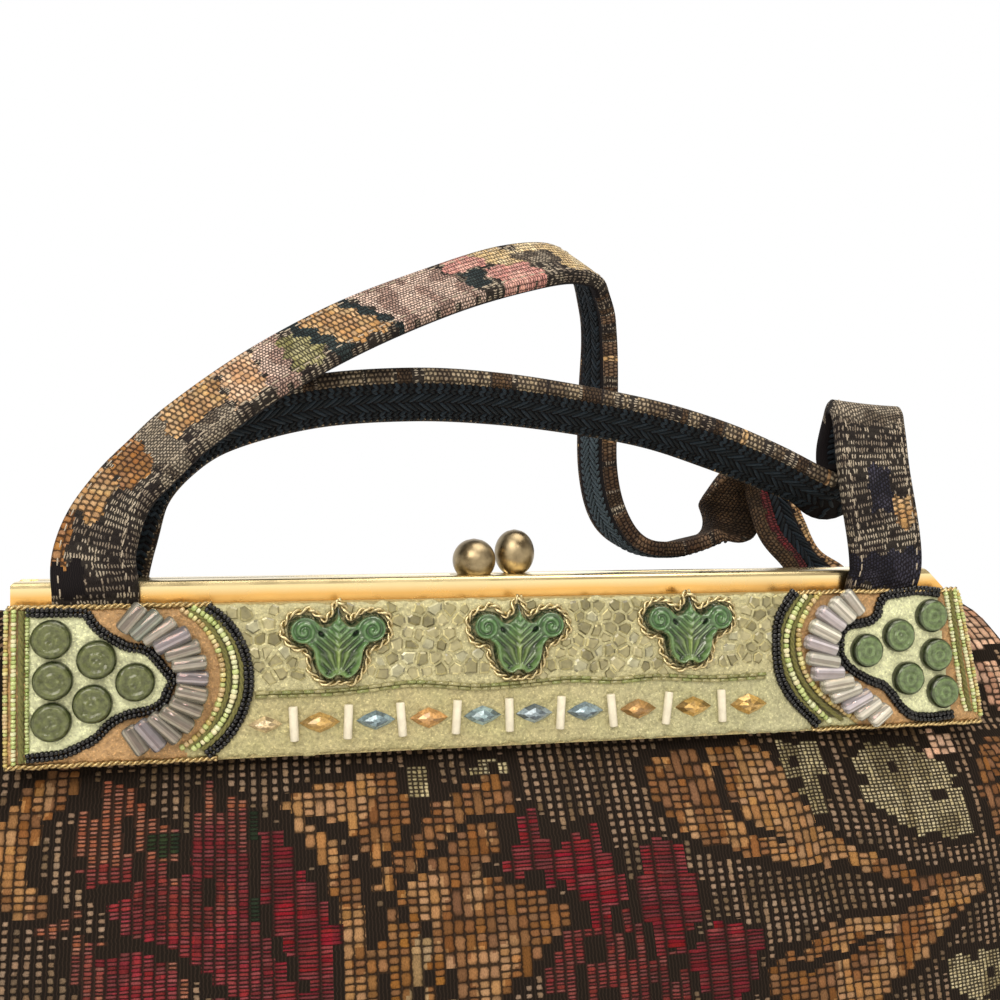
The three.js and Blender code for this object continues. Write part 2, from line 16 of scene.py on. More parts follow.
import bpy
import numpy as np
from bpy.types import ID, Material, Mesh, Node, NodeSocket, NodeTree, Object
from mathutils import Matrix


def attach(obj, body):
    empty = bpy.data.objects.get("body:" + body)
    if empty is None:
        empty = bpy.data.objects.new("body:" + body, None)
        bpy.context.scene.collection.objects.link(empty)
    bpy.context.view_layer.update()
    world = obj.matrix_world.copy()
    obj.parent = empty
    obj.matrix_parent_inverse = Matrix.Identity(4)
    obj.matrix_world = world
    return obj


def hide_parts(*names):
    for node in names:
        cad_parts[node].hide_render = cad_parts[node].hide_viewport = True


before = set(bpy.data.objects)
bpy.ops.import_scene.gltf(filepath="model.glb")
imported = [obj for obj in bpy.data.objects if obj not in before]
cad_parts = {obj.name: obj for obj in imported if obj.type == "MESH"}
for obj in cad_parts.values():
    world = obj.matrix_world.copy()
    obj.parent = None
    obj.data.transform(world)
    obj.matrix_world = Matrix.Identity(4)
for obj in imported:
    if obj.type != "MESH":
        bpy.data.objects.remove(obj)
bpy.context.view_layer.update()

LOG = logging.getLogger("frame_bag")
MM = 0.001
Array = np.ndarray
Faces = list[list[int]]
Solid = tuple[Array, Faces]
Pair = tuple[float, float]
Line = tuple[Pair, ...]  # listed points in a plane
Rows = tuple[tuple[float, ...], ...]  # listed rows of numbers

PANEL_TOP = 204.5
PANEL_FRONT = -12.0
SEATED = 0.3  # beads and stones sit this far out of the panel's face


# Small tools for shapes


def linear(code: str) -> Array:
    """Turns an sRGB hex code into a linear colour.

    Args:
        code: Six hex digits.

    Returns:
        Red, green, blue and a full alpha.
    """
    channels = []
    for start in (0, 2, 4):
        value = int(code[start : start + 2], 16) / 255
        channels.append(value / 12.92 if value <= 0.04045 else ((value + 0.055) / 1.055) ** 2.4)
    return np.array([*channels, 1.0])


def unit(vectors: Array) -> Array:
    """The same directions with a length of one."""
    return vectors / np.maximum(np.linalg.norm(vectors, axis=-1, keepdims=True), 1e-9)


def ease(share: Array) -> Array:
    """A soft step from 0 to 1 as share goes from 0 to 1."""
    held = np.clip(share, 0, 1)
    return held * held * (3 - 2 * held)


def run_lengths(line: Array) -> Array:
    """Distance along a line from its start to each of its points."""
    return np.concatenate([[0.0], np.cumsum(np.linalg.norm(np.diff(line, axis=0), axis=1))])


def spline(rows: Array, count: int) -> Array:
    """A smooth line through given rows.

    Args:
        rows: Places, and any other columns that change along the line.
        count: How many points to make, the same number between every two rows.

    Returns:
        The points, with the same columns as the rows.
    """
    ahead = np.vstack([2 * rows[0] - rows[1], rows, 2 * rows[-1] - rows[-2]])
    share = np.linspace(0, len(rows) - 1, count)
    step = np.minimum(share.astype(int), len(rows) - 2)
    t = (share - step)[:, None]
    a, b, c, d = (ahead[step + k] for k in range(4))
    return 0.5 * (2 * b + (c - a) * t + (2 * a - 5 * b + 4 * c - d) * t**2 + (3 * (b - c) + d - a) * t**3)


def evenly(line: Array, spacing: float, columns: int = 3) -> Array:
    """The same line with its points at equal distances.

    Args:
        line: Points, with places in the first columns.
        spacing: Distance wanted between points.
        columns: How many columns are a place.

    Returns:
        Points from the line's start to its end.
    """
    run = run_lengths(line[:, :columns])
    target = np.linspace(0, run[-1], max(2, round(run[-1] / spacing) + 1))
    return np.stack([np.interp(target, run, column) for column in line.T], axis=1)


def grid_faces(rows: int, columns: int, wrap_rows: bool = False, wrap_columns: bool = False) -> Array:
    """Four-sided faces between the points of a grid.

    Args:
        rows: Points one way.
        columns: Points the other way, which are next to each other in the list.
        wrap_rows: Joins the last row to the first.
        wrap_columns: Joins the last column to the first.

    Returns:
        Four point numbers for each face.
    """
    steps = np.arange(rows - (not wrap_rows)), np.arange(columns - (not wrap_columns))
    i, j = (axis.ravel() for axis in np.meshgrid(*steps, indexing="ij"))
    up, across = (i + 1) % rows, (j + 1) % columns
    return np.stack([i * columns + j, i * columns + across, up * columns + across, up * columns + j], axis=1)


def depth_inside(points: Array, outline: Array) -> Array:
    """How far points lie inside a closed outline.

    Args:
        points: Places in a plane.
        outline: Corners of the outline, in order.

    Returns:
        The distance to the outline, negative outside it.
    """
    x, y = points[:, 0], points[:, 1]
    nearest = np.full(len(points), np.inf)
    inside = np.zeros(len(points), dtype=bool)
    for a, b in zip(outline, np.roll(outline, -1, axis=0)):
        edge = b - a
        share = np.clip((points - a) @ edge / max(edge @ edge, 1e-12), 0, 1)
        nearest = np.minimum(nearest, ((points - a - share[:, None] * edge) ** 2).sum(axis=1))
        crosses = (a[1] > y) != (b[1] > y)
        rise = edge[1] if edge[1] else 1e-12
        inside ^= crosses & (x < a[0] + (y - a[1]) * edge[0] / rise)
    return np.where(inside, 1, -1) * np.sqrt(nearest)


def waves(points: Array, size: float, seed: int) -> Array:
    """Smooth unevenness without a pattern.

    Args:
        points: Places in a plane or in space.
        size: About how wide its bumps are.
        seed: Gives each use its own waves.

    Returns:
        A height at each place, about -1 to 1.
    """
    count = 14  # plain waves, each its own way, laid over one another
    chance = np.random.default_rng(seed)
    ways = chance.normal(size=(points.shape[1], count)) / size
    return np.sin(points @ ways * 2.2 + chance.uniform(0, 2 * math.pi, count)).sum(axis=1) / 4


def scatter(column: Array, row: Array) -> Array:
    """A number from 0 to 1 for each column and row of a chart, with no pattern to see."""
    return np.sin(column * 12.9898 + row * 78.233) * 43758.5453 % 1


def tube(line: Array, radius: float, out: Sequence[float] = (0, 0, 1), sides: int = 8) -> Solid:
    """A round thread along a line, closed at both ends.

    Args:
        line: Middle of the thread.
        radius: Half of its thickness.
        out: A direction that the line never runs along.
        sides: Faces round the thread.

    Returns:
        Its points and faces.
    """
    along = unit(np.gradient(line, axis=0))
    side = unit(np.cross(along, np.asarray(out, dtype=float)))
    top = np.cross(side, along)
    turn = np.linspace(0, 2 * math.pi, sides, endpoint=False)
    ring = np.cos(turn)[None, :, None] * side[:, None] + np.sin(turn)[None, :, None] * top[:, None]
    points = (line[:, None] + radius * ring).reshape(-1, 3)
    last = (len(line) - 1) * sides
    ends = [list(range(sides)), [last + k for k in range(sides)][::-1]]
    return points, grid_faces(len(line), sides, wrap_columns=True)[:, ::-1].tolist() + ends


def twisted(
    line: Array, radius: float, pitch: float, strands: int = 2, sides: int = 6, loose: float = 0.85
) -> list[Solid]:
    """Strands laid round each other along a line on the panel.

    Args:
        line: Middle of the cord.
        radius: Half of a strand's thickness.
        pitch: How far a strand runs in one turn.
        strands: How many there are.
        sides: Faces round each strand.
        loose: How far out the strands lie, in radii.

    Returns:
        The strands.
    """
    smooth = evenly(line, pitch / 9)
    run = run_lengths(smooth)
    along = unit(np.gradient(smooth, axis=0))
    out = np.array([0.0, 0.0, 1.0])
    side = unit(np.cross(along, out))
    made = []
    for strand in range(strands):
        turn = 2 * math.pi * (run / pitch + strand / strands)
        offset = np.cos(turn)[:, None] * side + np.sin(turn)[:, None] * out
        made.append(tube(smooth + loose * radius * offset, radius, out, sides))
    return made


def turned(profile: Sequence[Pair], sides: int, ring: bool = False) -> Solid:
    """A solid turned about its own z axis.

    Args:
        profile: Radius and height of its outline, from the foot to the top.
        sides: Faces round it.
        ring: The outline closes on itself, as for a bead with a hole.

    Returns:
        Its points and faces.
    """
    radius, height = np.array(profile).T
    turn = np.linspace(0, 2 * math.pi, sides, endpoint=False)
    points = np.stack(
        [
            radius[:, None] * np.cos(turn),
            radius[:, None] * np.sin(turn),
            np.repeat(height[:, None], sides, axis=1),
        ],
        axis=2,
    ).reshape(-1, 3)
    faces = grid_faces(len(profile), sides, wrap_rows=ring, wrap_columns=True).tolist()
    if not ring:
        last = (len(profile) - 1) * sides
        faces += [list(range(sides))[::-1], [last + k for k in range(sides)]]
    return points, faces


def relief(outline: Array, step: float, height: Callable[[Array, Array], Array]) -> Solid:
    """A solid with a flat back and a raised face inside an outline.

    Args:
        outline: Corners of the outline, in order.
        step: Size of the face's grid.
        height: Gives the height at places, from the places and how far inside the outline they lie.

    Returns:
        Its points and faces, which close.
    """
    low, high = outline.min(axis=0) - step, outline.max(axis=0) + step
    xs, ys = np.arange(low[0], high[0] + step, step), np.arange(low[1], high[1] + step, step)
    flat = np.stack([axis.ravel() for axis in np.meshgrid(xs, ys)], axis=1)
    deep = depth_inside(flat, outline)
    quads = grid_faces(len(ys), len(xs))
    quads = quads[(deep[quads] > -0.3 * step).all(axis=1)]
    used, quads = np.unique(quads, return_inverse=True)
    quads = quads.reshape(-1, 4)
    flat, deep = flat[used], deep[used]
    edges = np.concatenate([quads[:, [k, (k + 1) % 4]] for k in range(4)])
    known = {tuple(edge) for edge in edges.tolist()}
    rim = np.array([edge for edge in edges.tolist() if (edge[1], edge[0]) not in known])
    border = np.unique(rim)
    nudge = 0.02 * step
    slope = np.stack(
        [
            depth_inside(flat[border] + way, outline) - depth_inside(flat[border] - way, outline)
            for way in nudge * np.eye(2)
        ],
        axis=1,
    )
    flat[border] -= unit(slope) * np.clip(deep[border], -step, step)[:, None]
    deep[border] = 0
    count = len(flat)
    top = np.column_stack([flat, height(flat, deep)])
    back = np.column_stack([flat, np.zeros(count)])
    walls = np.stack([rim[:, 1], rim[:, 0], rim[:, 0] + count, rim[:, 1] + count], axis=1)
    faces = quads.tolist() + (quads[:, ::-1] + count).tolist() + walls.tolist()
    return np.vstack([top, back]), faces


def on_panel(points: Array) -> Array:
    """Turns places on the front panel into places in the bag's frame."""
    return np.stack([points[:, 0], PANEL_FRONT - points[:, 2], PANEL_TOP + points[:, 1]], axis=1)


def laid(points: Array, at: Sequence[float], turn: float = 0.0, tip: float = 0.0) -> Array:
    """Points of a solid, tipped from standing to lying, turned in the panel's plane and moved.

    Args:
        points: The solid's points about its own middle.
        at: Where its middle goes.
        turn: Angle in the panel's plane.
        tip: Angle about x before the turn, a right angle to lay z along -y.

    Returns:
        The moved points.
    """
    x, y, z = points.T
    y, z = y * math.cos(tip) - z * math.sin(tip), y * math.sin(tip) + z * math.cos(tip)
    x, y = x * math.cos(turn) - y * math.sin(turn), x * math.sin(turn) + y * math.cos(turn)
    return np.stack([x, y, z], axis=1) + np.asarray(at, dtype=float)


# Finishes


def add_node(
    tree: NodeTree, kind: str, inputs: dict | Sequence = (), **settings: object
) -> Node:
    """Adds a shader node.

    Args:
        tree: The nodes that it goes among.
        kind: The node's type, without its prefix, and its operation after a colon if it has one.
        inputs: Values or other nodes' outputs, in the order of the node's inputs or by their names or
            numbers. A node stands for its first output.
        **settings: The node's own settings.

    Returns:
        The node.
    """
    kind, _, operation = kind.partition(":")
    node = tree.nodes.new("ShaderNode" + kind)
    if operation:
        node.operation = operation
    for name, value in settings.items():
        setattr(node, name, value)
    named = inputs if isinstance(inputs, dict) else dict(enumerate(inputs))
    for name, value in named.items():
        source = value.outputs[0] if isinstance(value, Node) else value
        if isinstance(source, NodeSocket):
            tree.links.new(source, node.inputs[name])
        else:
            node.inputs[name].default_value = source
    return node


@dataclass(frozen=True)
class Finish:
    """A real material and how its surface was made."""

    name: str
    roughness: float = 0.5

    def material(self) -> Material:
        """Makes the Blender material, the first time that it is asked for.

        Returns:
            The material.
        """
        made = bpy.data.materials.get(self.name)
        if made is None:
            made = bpy.data.materials.new(self.name)
            made.use_nodes = True
            tree = made.node_tree
            shader = tree.nodes["Principled BSDF"]
            shader.inputs["Roughness"].default_value = self.roughness
            self.shade(tree, shader)
        return made

    def shade(self, tree: NodeTree, shader: Node) -> None:
        """Adds the nodes of this kind of finish."""
        raise NotImplementedError


@dataclass(frozen=True)
class WovenTapestry(Finish):
    """Jacquard cloth: coloured yarn floats over a dark ground.

    Colour comes in small rounded blocks with dark gaps, no two alike, with painted shade at their edges and
    painted highlight on top, and the light breaks up on them.
    """

    ground: str = "19130f"
    thread: str = "2a211b"
    threads: float = 3.0  # warp threads in a column
    swell: float = 0.45  # how far a float stands out
    sway: float = 0.35  # how far the hand of the weave pulls a float out of line, in columns
    stagger: float = 0.0  # how far each column's floats are set off from the last, in floats
    squareness: float = 3.6  # 2 for round floats, more for square ones
    under: float = 0.07  # share of the yarn that shows in the gaps of a patch
    sparse: float = 0.0  # share of the ground's small dashes that are left out, in drifts
    dash: float = 0.34  # floats with a greater half width belong to a patch, and the rest are dashes
    uneven: Pair = (-0.07, 0.06)  # how much shorter and longer a float may be
    run_on: float = 0.16  # how much longer the few are that run on towards the next
    dye: Pair = (0.75, 1.2)  # the darkest and the lightest dye of one yarn
    hue: Pair = (0.495, 0.504)  # how far its hue wanders, about 0.5
    strength: Pair = (0.88, 1.08)  # how weak and how strong its colour is
    fibres: Pair = (0.7, 1.25)  # how dark and how light its fibres are
    painted_float_shade: Pair = (0.22, 1.2)  # painted shade and painted highlight: how light a float is at its edge and on its top
    gloss: float = 0.12

    def shade(self, tree: NodeTree, shader: Node) -> None:
        """Draws each float from the weave's columns and picks and from the form that its face carries.

        Args:
            tree: The material's nodes.
            shader: The surface that takes the colour and the relief.
        """
        node = partial(add_node, tree)
        weave = node("UVMap", uv_map="weave")
        drift = node("TexNoise", {"Vector": weave, "Scale": 0.8, "Detail": 2.0}).outputs["Color"]
        pulled = node("VectorMath:SUBTRACT", (drift, (0.5, 0.5, 0.5)))
        pull = node("VectorMath:MULTIPLY", (pulled, (self.sway, 1.8 * self.sway, 0)))
        moved = node("VectorMath:ADD", (weave, pull))
        place = node("SeparateXYZ", (moved,))
        form = node("Attribute", attribute_name="form")
        yarn = node("Attribute", attribute_name="tint")
        columns, picks, half_width = node("SeparateColor", (form,)).outputs
        column = node("Math:DIVIDE", (place.outputs["X"], columns))
        lane = node("Math:FLOOR", (column,))
        pick = node("Math:DIVIDE", (place.outputs["Y"], picks))
        patch = node("MapRange", (half_width, self.dash, self.dash + 0.005, 0.0, 1.0))
        set_off = node("Math:MULTIPLY", (lane, patch))
        pick = node("Math:MULTIPLY_ADD", (set_off, self.stagger, pick))
        cell = node("CombineXYZ", (lane, node("Math:FLOOR", (pick,))))
        chance = node("TexWhiteNoise", (cell,), noise_dimensions="2D").outputs["Color"]
        first, second, third = node("SeparateColor", (chance,)).outputs
        runs_on = node("MapRange", (third, 0.82, 0.84, 0.0, self.run_on))
        longer = node("MapRange", (second, 0.0, 1.0, *self.uneven))
        longer = node("Math:ADD", (longer, runs_on))
        half_length = node("Math:ADD", (form.outputs["Alpha"], longer))
        reaches = []
        for position, half in ((column, half_width), (pick, half_length)):
            within = node("Math:FRACT", (position,))
            offset = node("Math:SUBTRACT", (within, 0.5))
            away = node("Math:ABSOLUTE", (offset,))
            share = node("Math:DIVIDE", (away, half))
            reaches.append(node("Math:POWER", (share, self.squareness)))
        reach = node("Math:ADD", reaches)
        cover = node("MapRange", (reach, 1.42, 0.5, 0.0, 1.0))
        if self.sparse:
            lines = node("VectorMath:MULTIPLY", (cell, (0.12, 0.8, 0)))
            drifts = node("TexNoise", {"Vector": lines, "Scale": 1.0, "Detail": 1.0})
            thin = node("Math:MULTIPLY_ADD", (first, 0.3, drifts))
            limit = 0.3 * self.sparse
            kept = node("MapRange", (thin, 0.5 + limit, 0.52 + limit, 0.0, 1.0))
            kept = node("Math:MAXIMUM", (kept, patch))
            cover = node("Math:MULTIPLY", (cover, kept))
        rounded = node("MapRange", (reach, 1.25, 0.0, 0.0, 1.0))
        swell = node("Math:POWER", (rounded, 0.8))
        dye = node("MapRange", (first, 0.0, 1.0, *self.dye))
        strands = node("VectorMath:MULTIPLY", (moved, (9.0, 1.5, 1.0)))
        fibre = node("TexNoise", {"Vector": strands, "Scale": 1.0, "Detail": 3.0})
        fibre = node("MapRange", (fibre, 0.3, 0.7, *self.fibres))
        light = node("Math:MULTIPLY", (dye, fibre))
        # painted shade: each float is darker at its edges and lighter on its top
        painted_float_shade = node("MapRange", (swell, 0.0, 1.0, *self.painted_float_shade))
        value = node("Math:MULTIPLY", (light, painted_float_shade))
        hue = node("MapRange", (second, 0.0, 1.0, *self.hue))
        strength = node("MapRange", (third, 0.0, 1.0, *self.strength))
        dyes = {"Color": yarn, "Value": value, "Hue": hue, "Saturation": strength}
        dyed = node("HueSaturation", dyes)
        turns = node("Math:MULTIPLY", (place.outputs["X"], 2 * math.pi * self.threads))
        warp = node("Math:SINE", (turns,))
        lit = node("MapRange", (warp, 0.0, 1.0, 0.0, 1.0))
        shown = {0: lit, 6: linear(self.ground), 7: linear(self.thread)}
        bare = node("Mix", shown, data_type="RGBA").outputs[2]
        seen = node("MapRange", (half_width, 0.3, 0.36, 0.0, self.under))
        gap = node("Mix", {0: seen, 6: bare, 7: yarn}, data_type="RGBA").outputs[2]
        colour = node("Mix", {0: cover, 6: gap, 7: dyed}, data_type="RGBA").outputs[2]
        tree.links.new(colour, shader.inputs["Base Color"])
        height = node("Math:MULTIPLY_ADD", (lit, 0.15, swell))
        bump = node("Bump", {"Height": height, "Distance": self.swell * MM, "Strength": 0.9})
        tree.links.new(bump.outputs[0], shader.inputs["Normal"])
        shader.inputs["Specular IOR Level"].default_value = self.gloss


@dataclass(frozen=True)
class TintedSurface(Finish):
    """A surface whose pieces carry their own tint, mottled between two depths of it and a little uneven."""

    grain: float = 1.0  # width of the mottling
    dark: float = 0.75
    pale: float = 1.15
    bump: float = 0.1
    metallic: float = 0.0
    transmission: float = 0.0
    coat: float = 0.0
    sheen: float = 0.0
    ior: float = 1.5
    glitter_and_glints: float = 0.0  # share of bright specks: partly pale grains, partly painted glints
    specular: float = 0.5
    film: float = 0.0  # thickness of the lustre, in millionths of a millimetre

    def shade(self, tree: NodeTree, shader: Node) -> None:
        """Mottles the tint, roughens the surface and sets the constants of the material.

        Args:
            tree: The material's nodes.
            shader: The surface that takes them.
        """
        node = partial(add_node, tree)
        tint = node("Attribute", attribute_name="tint")
        space = node("TexCoord").outputs["Object"]
        scale = 1 / (self.grain * MM)
        noise = node("TexNoise", {"Vector": space, "Scale": scale, "Detail": 4.0, "Roughness": 0.6})
        value = node("MapRange", (noise, 0.3, 0.7, self.dark, self.pale))
        if self.glitter_and_glints:
            # painted glints: bright specks in the colour, partly for pale grains and partly for sparkle
            specks = node("TexVoronoi", {"Vector": space, "Scale": 2.2 * scale}).outputs["Color"]
            shine = node("SeparateColor", (specks,))
            picked = node("MapRange", (shine, 1 - self.glitter_and_glints, 1.0, 1.0, 1.5))
            value = node("Math:MULTIPLY", (value, picked))
        dyed = node("HueSaturation", {"Color": tint, "Value": value})
        tree.links.new(dyed.outputs[0], shader.inputs["Base Color"])
        rough = node("MapRange", (noise, 0.3, 0.7, 0.8 * self.roughness, 1.2 * self.roughness))
        tree.links.new(rough.outputs[0], shader.inputs["Roughness"])
        uneven = node("Bump", {"Height": noise, "Distance": self.bump * MM, "Strength": 0.8})
        tree.links.new(uneven.outputs[0], shader.inputs["Normal"])
        constants = {
            "Metallic": self.metallic,
            "Transmission Weight": self.transmission,
            "Coat Weight": self.coat,
            "Thin Film Thickness": self.film,
            "Sheen Weight": self.sheen,
            "Specular IOR Level": self.specular,
        }
        if not self.metallic:
            constants["IOR"] = self.ior
        for name, constant in constants.items():
            shader.inputs[name].default_value = constant


@dataclass(frozen=True)
class PlatedMetal(Finish):
    """Plated brass, polished and then rubbed by use.

    It is bright where the plating is whole, and deeper and duller where it has worn. Where a height is given,
    its top is also painted brighter than its foot, as painted highlight and painted shade.
    """

    bright: str = "e8c27a"
    deep: str = "c98f3c"
    wear: float = 9.0  # width of a worn patch
    low: float = 0.0  # height where the colour is deepest, as painted shade
    high: float = 0.0  # height where it is brightest, as a painted highlight, and the same as low if height plays no part

    def shade(self, tree: NodeTree, shader: Node) -> None:
        """Mixes the two colours by height, as painted highlight and painted shade, and by patches of wear.

        Args:
            tree: The material's nodes.
            shader: The surface that takes them.
        """
        node = partial(add_node, tree)
        space = node("TexCoord").outputs["Object"]
        noise = node("TexNoise", {"Vector": space, "Scale": 1 / (self.wear * MM), "Detail": 6.0})
        share = node("MapRange", (noise, 0.35, 0.65))
        if self.high > self.low:
            # painted highlight and painted shade: brighter towards the top, deeper towards the foot
            height = node("SeparateXYZ", (space,)).outputs["Z"]
            rise = node("MapRange", (height, self.low * MM, self.high * MM, -0.3, 1.1))
            share = node("Math:MULTIPLY", (share, 0.25))
            share = node("Math", (share, rise), operation="ADD", use_clamp=True)
        tones = {0: share, 6: linear(self.deep), 7: linear(self.bright)}
        colour = node("Mix", tones, data_type="RGBA").outputs[2]
        tree.links.new(colour, shader.inputs["Base Color"])
        rough = node("MapRange", (noise, 0.3, 0.7, 0.7 * self.roughness, 1.4 * self.roughness))
        tree.links.new(rough.outputs[0], shader.inputs["Roughness"])
        shader.inputs["Metallic"].default_value = 1.0


# Jacquard-woven yarn on a dark warp: dull, with square floats in rows
BODY_TAPESTRY = WovenTapestry("jacquard_tapestry_woven", 0.85)
# The strap's cloth is finer and looser, with rounder floats
STRAP_TAPESTRY = WovenTapestry(
    "strap_tapestry_fine_woven", 0.85, "121014", "221d1e", swell=0.3, sway=0.7, stagger=0.37,
    squareness=2.8, under=0.16, sparse=0.2,
)
# Bead paste, spread with a trowel: lumpy, with bright specks that are partly pale grains and partly painted
# glints
BEAD_PASTE = TintedSurface(
    "bead_paste_trowelled", 0.35, grain=0.8, dark=0.66, pale=1.24, bump=0.8, glitter_and_glints=0.17
)
# Broken glass: glossy faces at all angles, cloudy inside
MOSAIC_GLASS = TintedSurface(
    "mosaic_glass_broken", 0.16, grain=1.4, dark=0.72, pale=1.2, bump=0.1, coat=0.4
)
# Plain-woven lining cloth: mottled and dull
BACKING_CLOTH = TintedSurface("backing_cloth_plain_woven", 0.9, grain=1.5, dark=0.6, pale=1.45, bump=0.5)
# Pressed glass: smooth, with a small sharp light on each bead
SEED_GLASS = TintedSurface(
    "seed_bead_glass_pressed", 0.06, grain=0.8, dark=0.8, pale=1.2, bump=0.03, coat=0.5
)
# Jet seed beads: black all through, so that only the windows' small reflections show
JET_GLASS = TintedSurface("jet_bead_glass_fire_polished", 0.03, grain=0.8, dark=0.8, pale=1.2, ior=1.52)
# Drawn clear glass with a lustre: the ground shows through, with a faint rainbow on top
CLEAR_GLASS = TintedSurface(
    "bugle_glass_drawn_lustred", 0.05, grain=2.0, dark=0.9, pale=1.1, bump=0.03, transmission=0.45,
    coat=1.0, film=280.0,
)
# Pressed glass with a dull skin: soft lights and cloudy green
DISC_GLASS = TintedSurface(
    "disc_glass_pressed_mottled", 0.22, grain=1.1, dark=0.55, pale=1.4, bump=0.2, coat=0.3
)
# Carved and polished glass: wet-looking ridges over deep green
LEAF_GLASS = TintedSurface(
    "leaf_glass_carved_glossy", 0.12, grain=1.3, dark=0.65, pale=1.35, bump=0.12, coat=1.0
)
# Cut glass with foil behind it, its facets painted at random brightness as painted glints and painted shade
CUT_GLASS = TintedSurface(
    "cut_glass_foiled", 0.14, grain=0.7, dark=0.6, pale=1.35, bump=0.12, metallic=0.3, coat=0.6
)
# Drawn white glass with a pearl skin: even and softly shiny
PEARL_GLASS = TintedSurface(
    "pearl_glass_drawn", 0.22, grain=1.5, dark=0.9, pale=1.08, bump=0.05, coat=0.5
)
# Twisted silk: soft, a little pale at its edges
CORD_THREAD = TintedSurface(
    "silk_cord_twisted", 0.6, grain=0.45, dark=0.6, pale=1.25, bump=0.2, sheen=0.15
)
# Metal thread: it glints in some places and is dark in others
GOLD_THREAD = TintedSurface(
    "gold_wire_thread_twisted", 0.35, grain=0.6, dark=0.5, pale=1.4, bump=0.12, metallic=1.0
)
# Looped cotton gimp: dull and fuzzy
GIMP_BRAID = TintedSurface(
    "gimp_braid_cotton_looped", 0.8, grain=0.5, dark=0.5, pale=1.6, bump=0.3, specular=0.2
)
# Waxed thread: pale and nearly dull
STITCH_THREAD = TintedSurface("stitch_thread_waxed", 0.6, grain=0.5, dark=0.75, pale=1.15, bump=0.1)
# Gilt brass: a painted highlight on its top edge and painted shade below
GILT = PlatedMetal(
    "gilt_brass_polished", 0.22, bright="f6e3b2", deep="ecbc72", wear=14, low=206, high=208.6
)
# Worn champagne plating: greyer and softer than the frame
CLASP = PlatedMetal("champagne_plating_worn", 0.34, bright="b3a384", deep="83745a", wear=3.5)
# Matt paper: white, without a shine
STUDIO_PAPER = TintedSurface("studio_paper_matt", 0.9, grain=60, dark=0.98, pale=1.0, bump=0.02)


# Pieces


def dress(mesh: Mesh, finish: Finish, tints: Sequence[float] | Array) -> None:
    """Gives a mesh its finish and its tint.

    Args:
        mesh: The piece's mesh.
        finish: What it is made of.
        tints: A linear colour for all of it or for each face.
    """
    mesh.materials.clear()
    mesh.materials.append(finish.material())
    layer = mesh.attributes.new("tint", "FLOAT_COLOR", "FACE")
    spread = np.broadcast_to(tints, (len(mesh.polygons), 4))
    layer.data.foreach_set("color", spread.astype(np.float32).ravel())


def put_in_scene(name: str, data: ID) -> Object:
    """Makes an object in the scene.

    Args:
        name: What it is called.
        data: Its mesh, light or camera.

    Returns:
        The object.
    """
    made = bpy.data.objects.new(name, data)
    bpy.context.scene.collection.objects.link(made)
    return made


@dataclass
class Piece:
    """Collects the points and faces of one piece of the bag, with a tint for each face."""

    name: str
    points: list[Array] = field(default_factory=list)
    faces: Faces = field(default_factory=list)
    tints: list[Array] = field(default_factory=list)
    total: int = 0

    def add(self, solid: Solid, tint: str | Array) -> None:
        """Adds a solid.

        Args:
            solid: Its points and faces.
            tint: A hex code for all of it, or a linear colour for all or for each face.
        """
        points, faces = solid
        self.points.append(points)
        self.faces.extend([index + self.total for index in face] for face in faces)
        self.tints.append(np.broadcast_to(linear(tint) if isinstance(tint, str) else tint, (len(faces), 4)))
        self.total += len(points)

    def build(self, finish: Finish, slot: str, node: str = "", smooth: bool = True) -> Object:
        """Makes the object and ties it to the frame.

        Args:
            finish: What it is made of.
            slot: The record's material slot. Not used.
            node: The CAD node that it stands for, if any.
            smooth: Rounded shading, or flat for cut stones.

        Returns:
            The object.
        """
        mesh = bpy.data.meshes.new(self.name)
        mesh.from_pydata((np.vstack(self.points) * MM).tolist(), [], self.faces)
        dress(mesh, finish, np.vstack(self.tints))
        mesh.polygons.foreach_set("use_smooth", [smooth] * len(self.faces))
        made = put_in_scene(self.name, mesh)
        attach(made, "root")
        if node:
            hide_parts(node)
        LOG.info("%s: %d faces of %s", self.name, len(self.faces), finish.name)
        return made


def add_weave(made: Object, corners: Array, form: Array) -> None:
    """Gives a cloth piece its weave.

    Args:
        made: The piece.
        corners: Columns and picks at every corner of every face.
        form: Columns, picks, half width and half length of the float in each face.
    """
    layer = made.data.uv_layers.new(name="weave")
    layer.data.foreach_set("uv", corners.astype(np.float32).ravel())
    held = made.data.attributes.new("form", "FLOAT_COLOR", "FACE")
    held.data.foreach_set("color", form.astype(np.float32).ravel())


class Yarn(Enum):
    """Kinds of float: columns and picks it spans, half its width and length as shares, and its tints."""

    DOTS = (1, 2, 0.27, 0.37, "7d6856", "61503f")
    BARE = (1, 1, 0.001, 0.001, "1e1a19", "1e1a19")
    TAN = (1, 4, 0.45, 0.455, "6f4c2f", "8d6946")
    MIXED_TAN = (1, 4, 0.43, 0.44, "8a7355", "75512f")
    CRIMSON = (2, 1, 0.455, 0.38, "6f2329", "5d2126")
    WINE = (1, 1, 0.43, 0.38, "762d32", "61272b")
    BRICK = (1, 1, 0.4, 0.36, "6d3230", "582727")
    ORANGE = (1, 1, 0.35, 0.34, "855240", "703d38")
    OLIVE = (0.5, 1, 0.39, 0.36, "aa9f80", "887d60")
    GREEN = (1, 1, 0.4, 0.38, "26301f", "1e271c")
    PINK_TAN = (1, 4, 0.44, 0.45, "c9a58d", "a5806b")


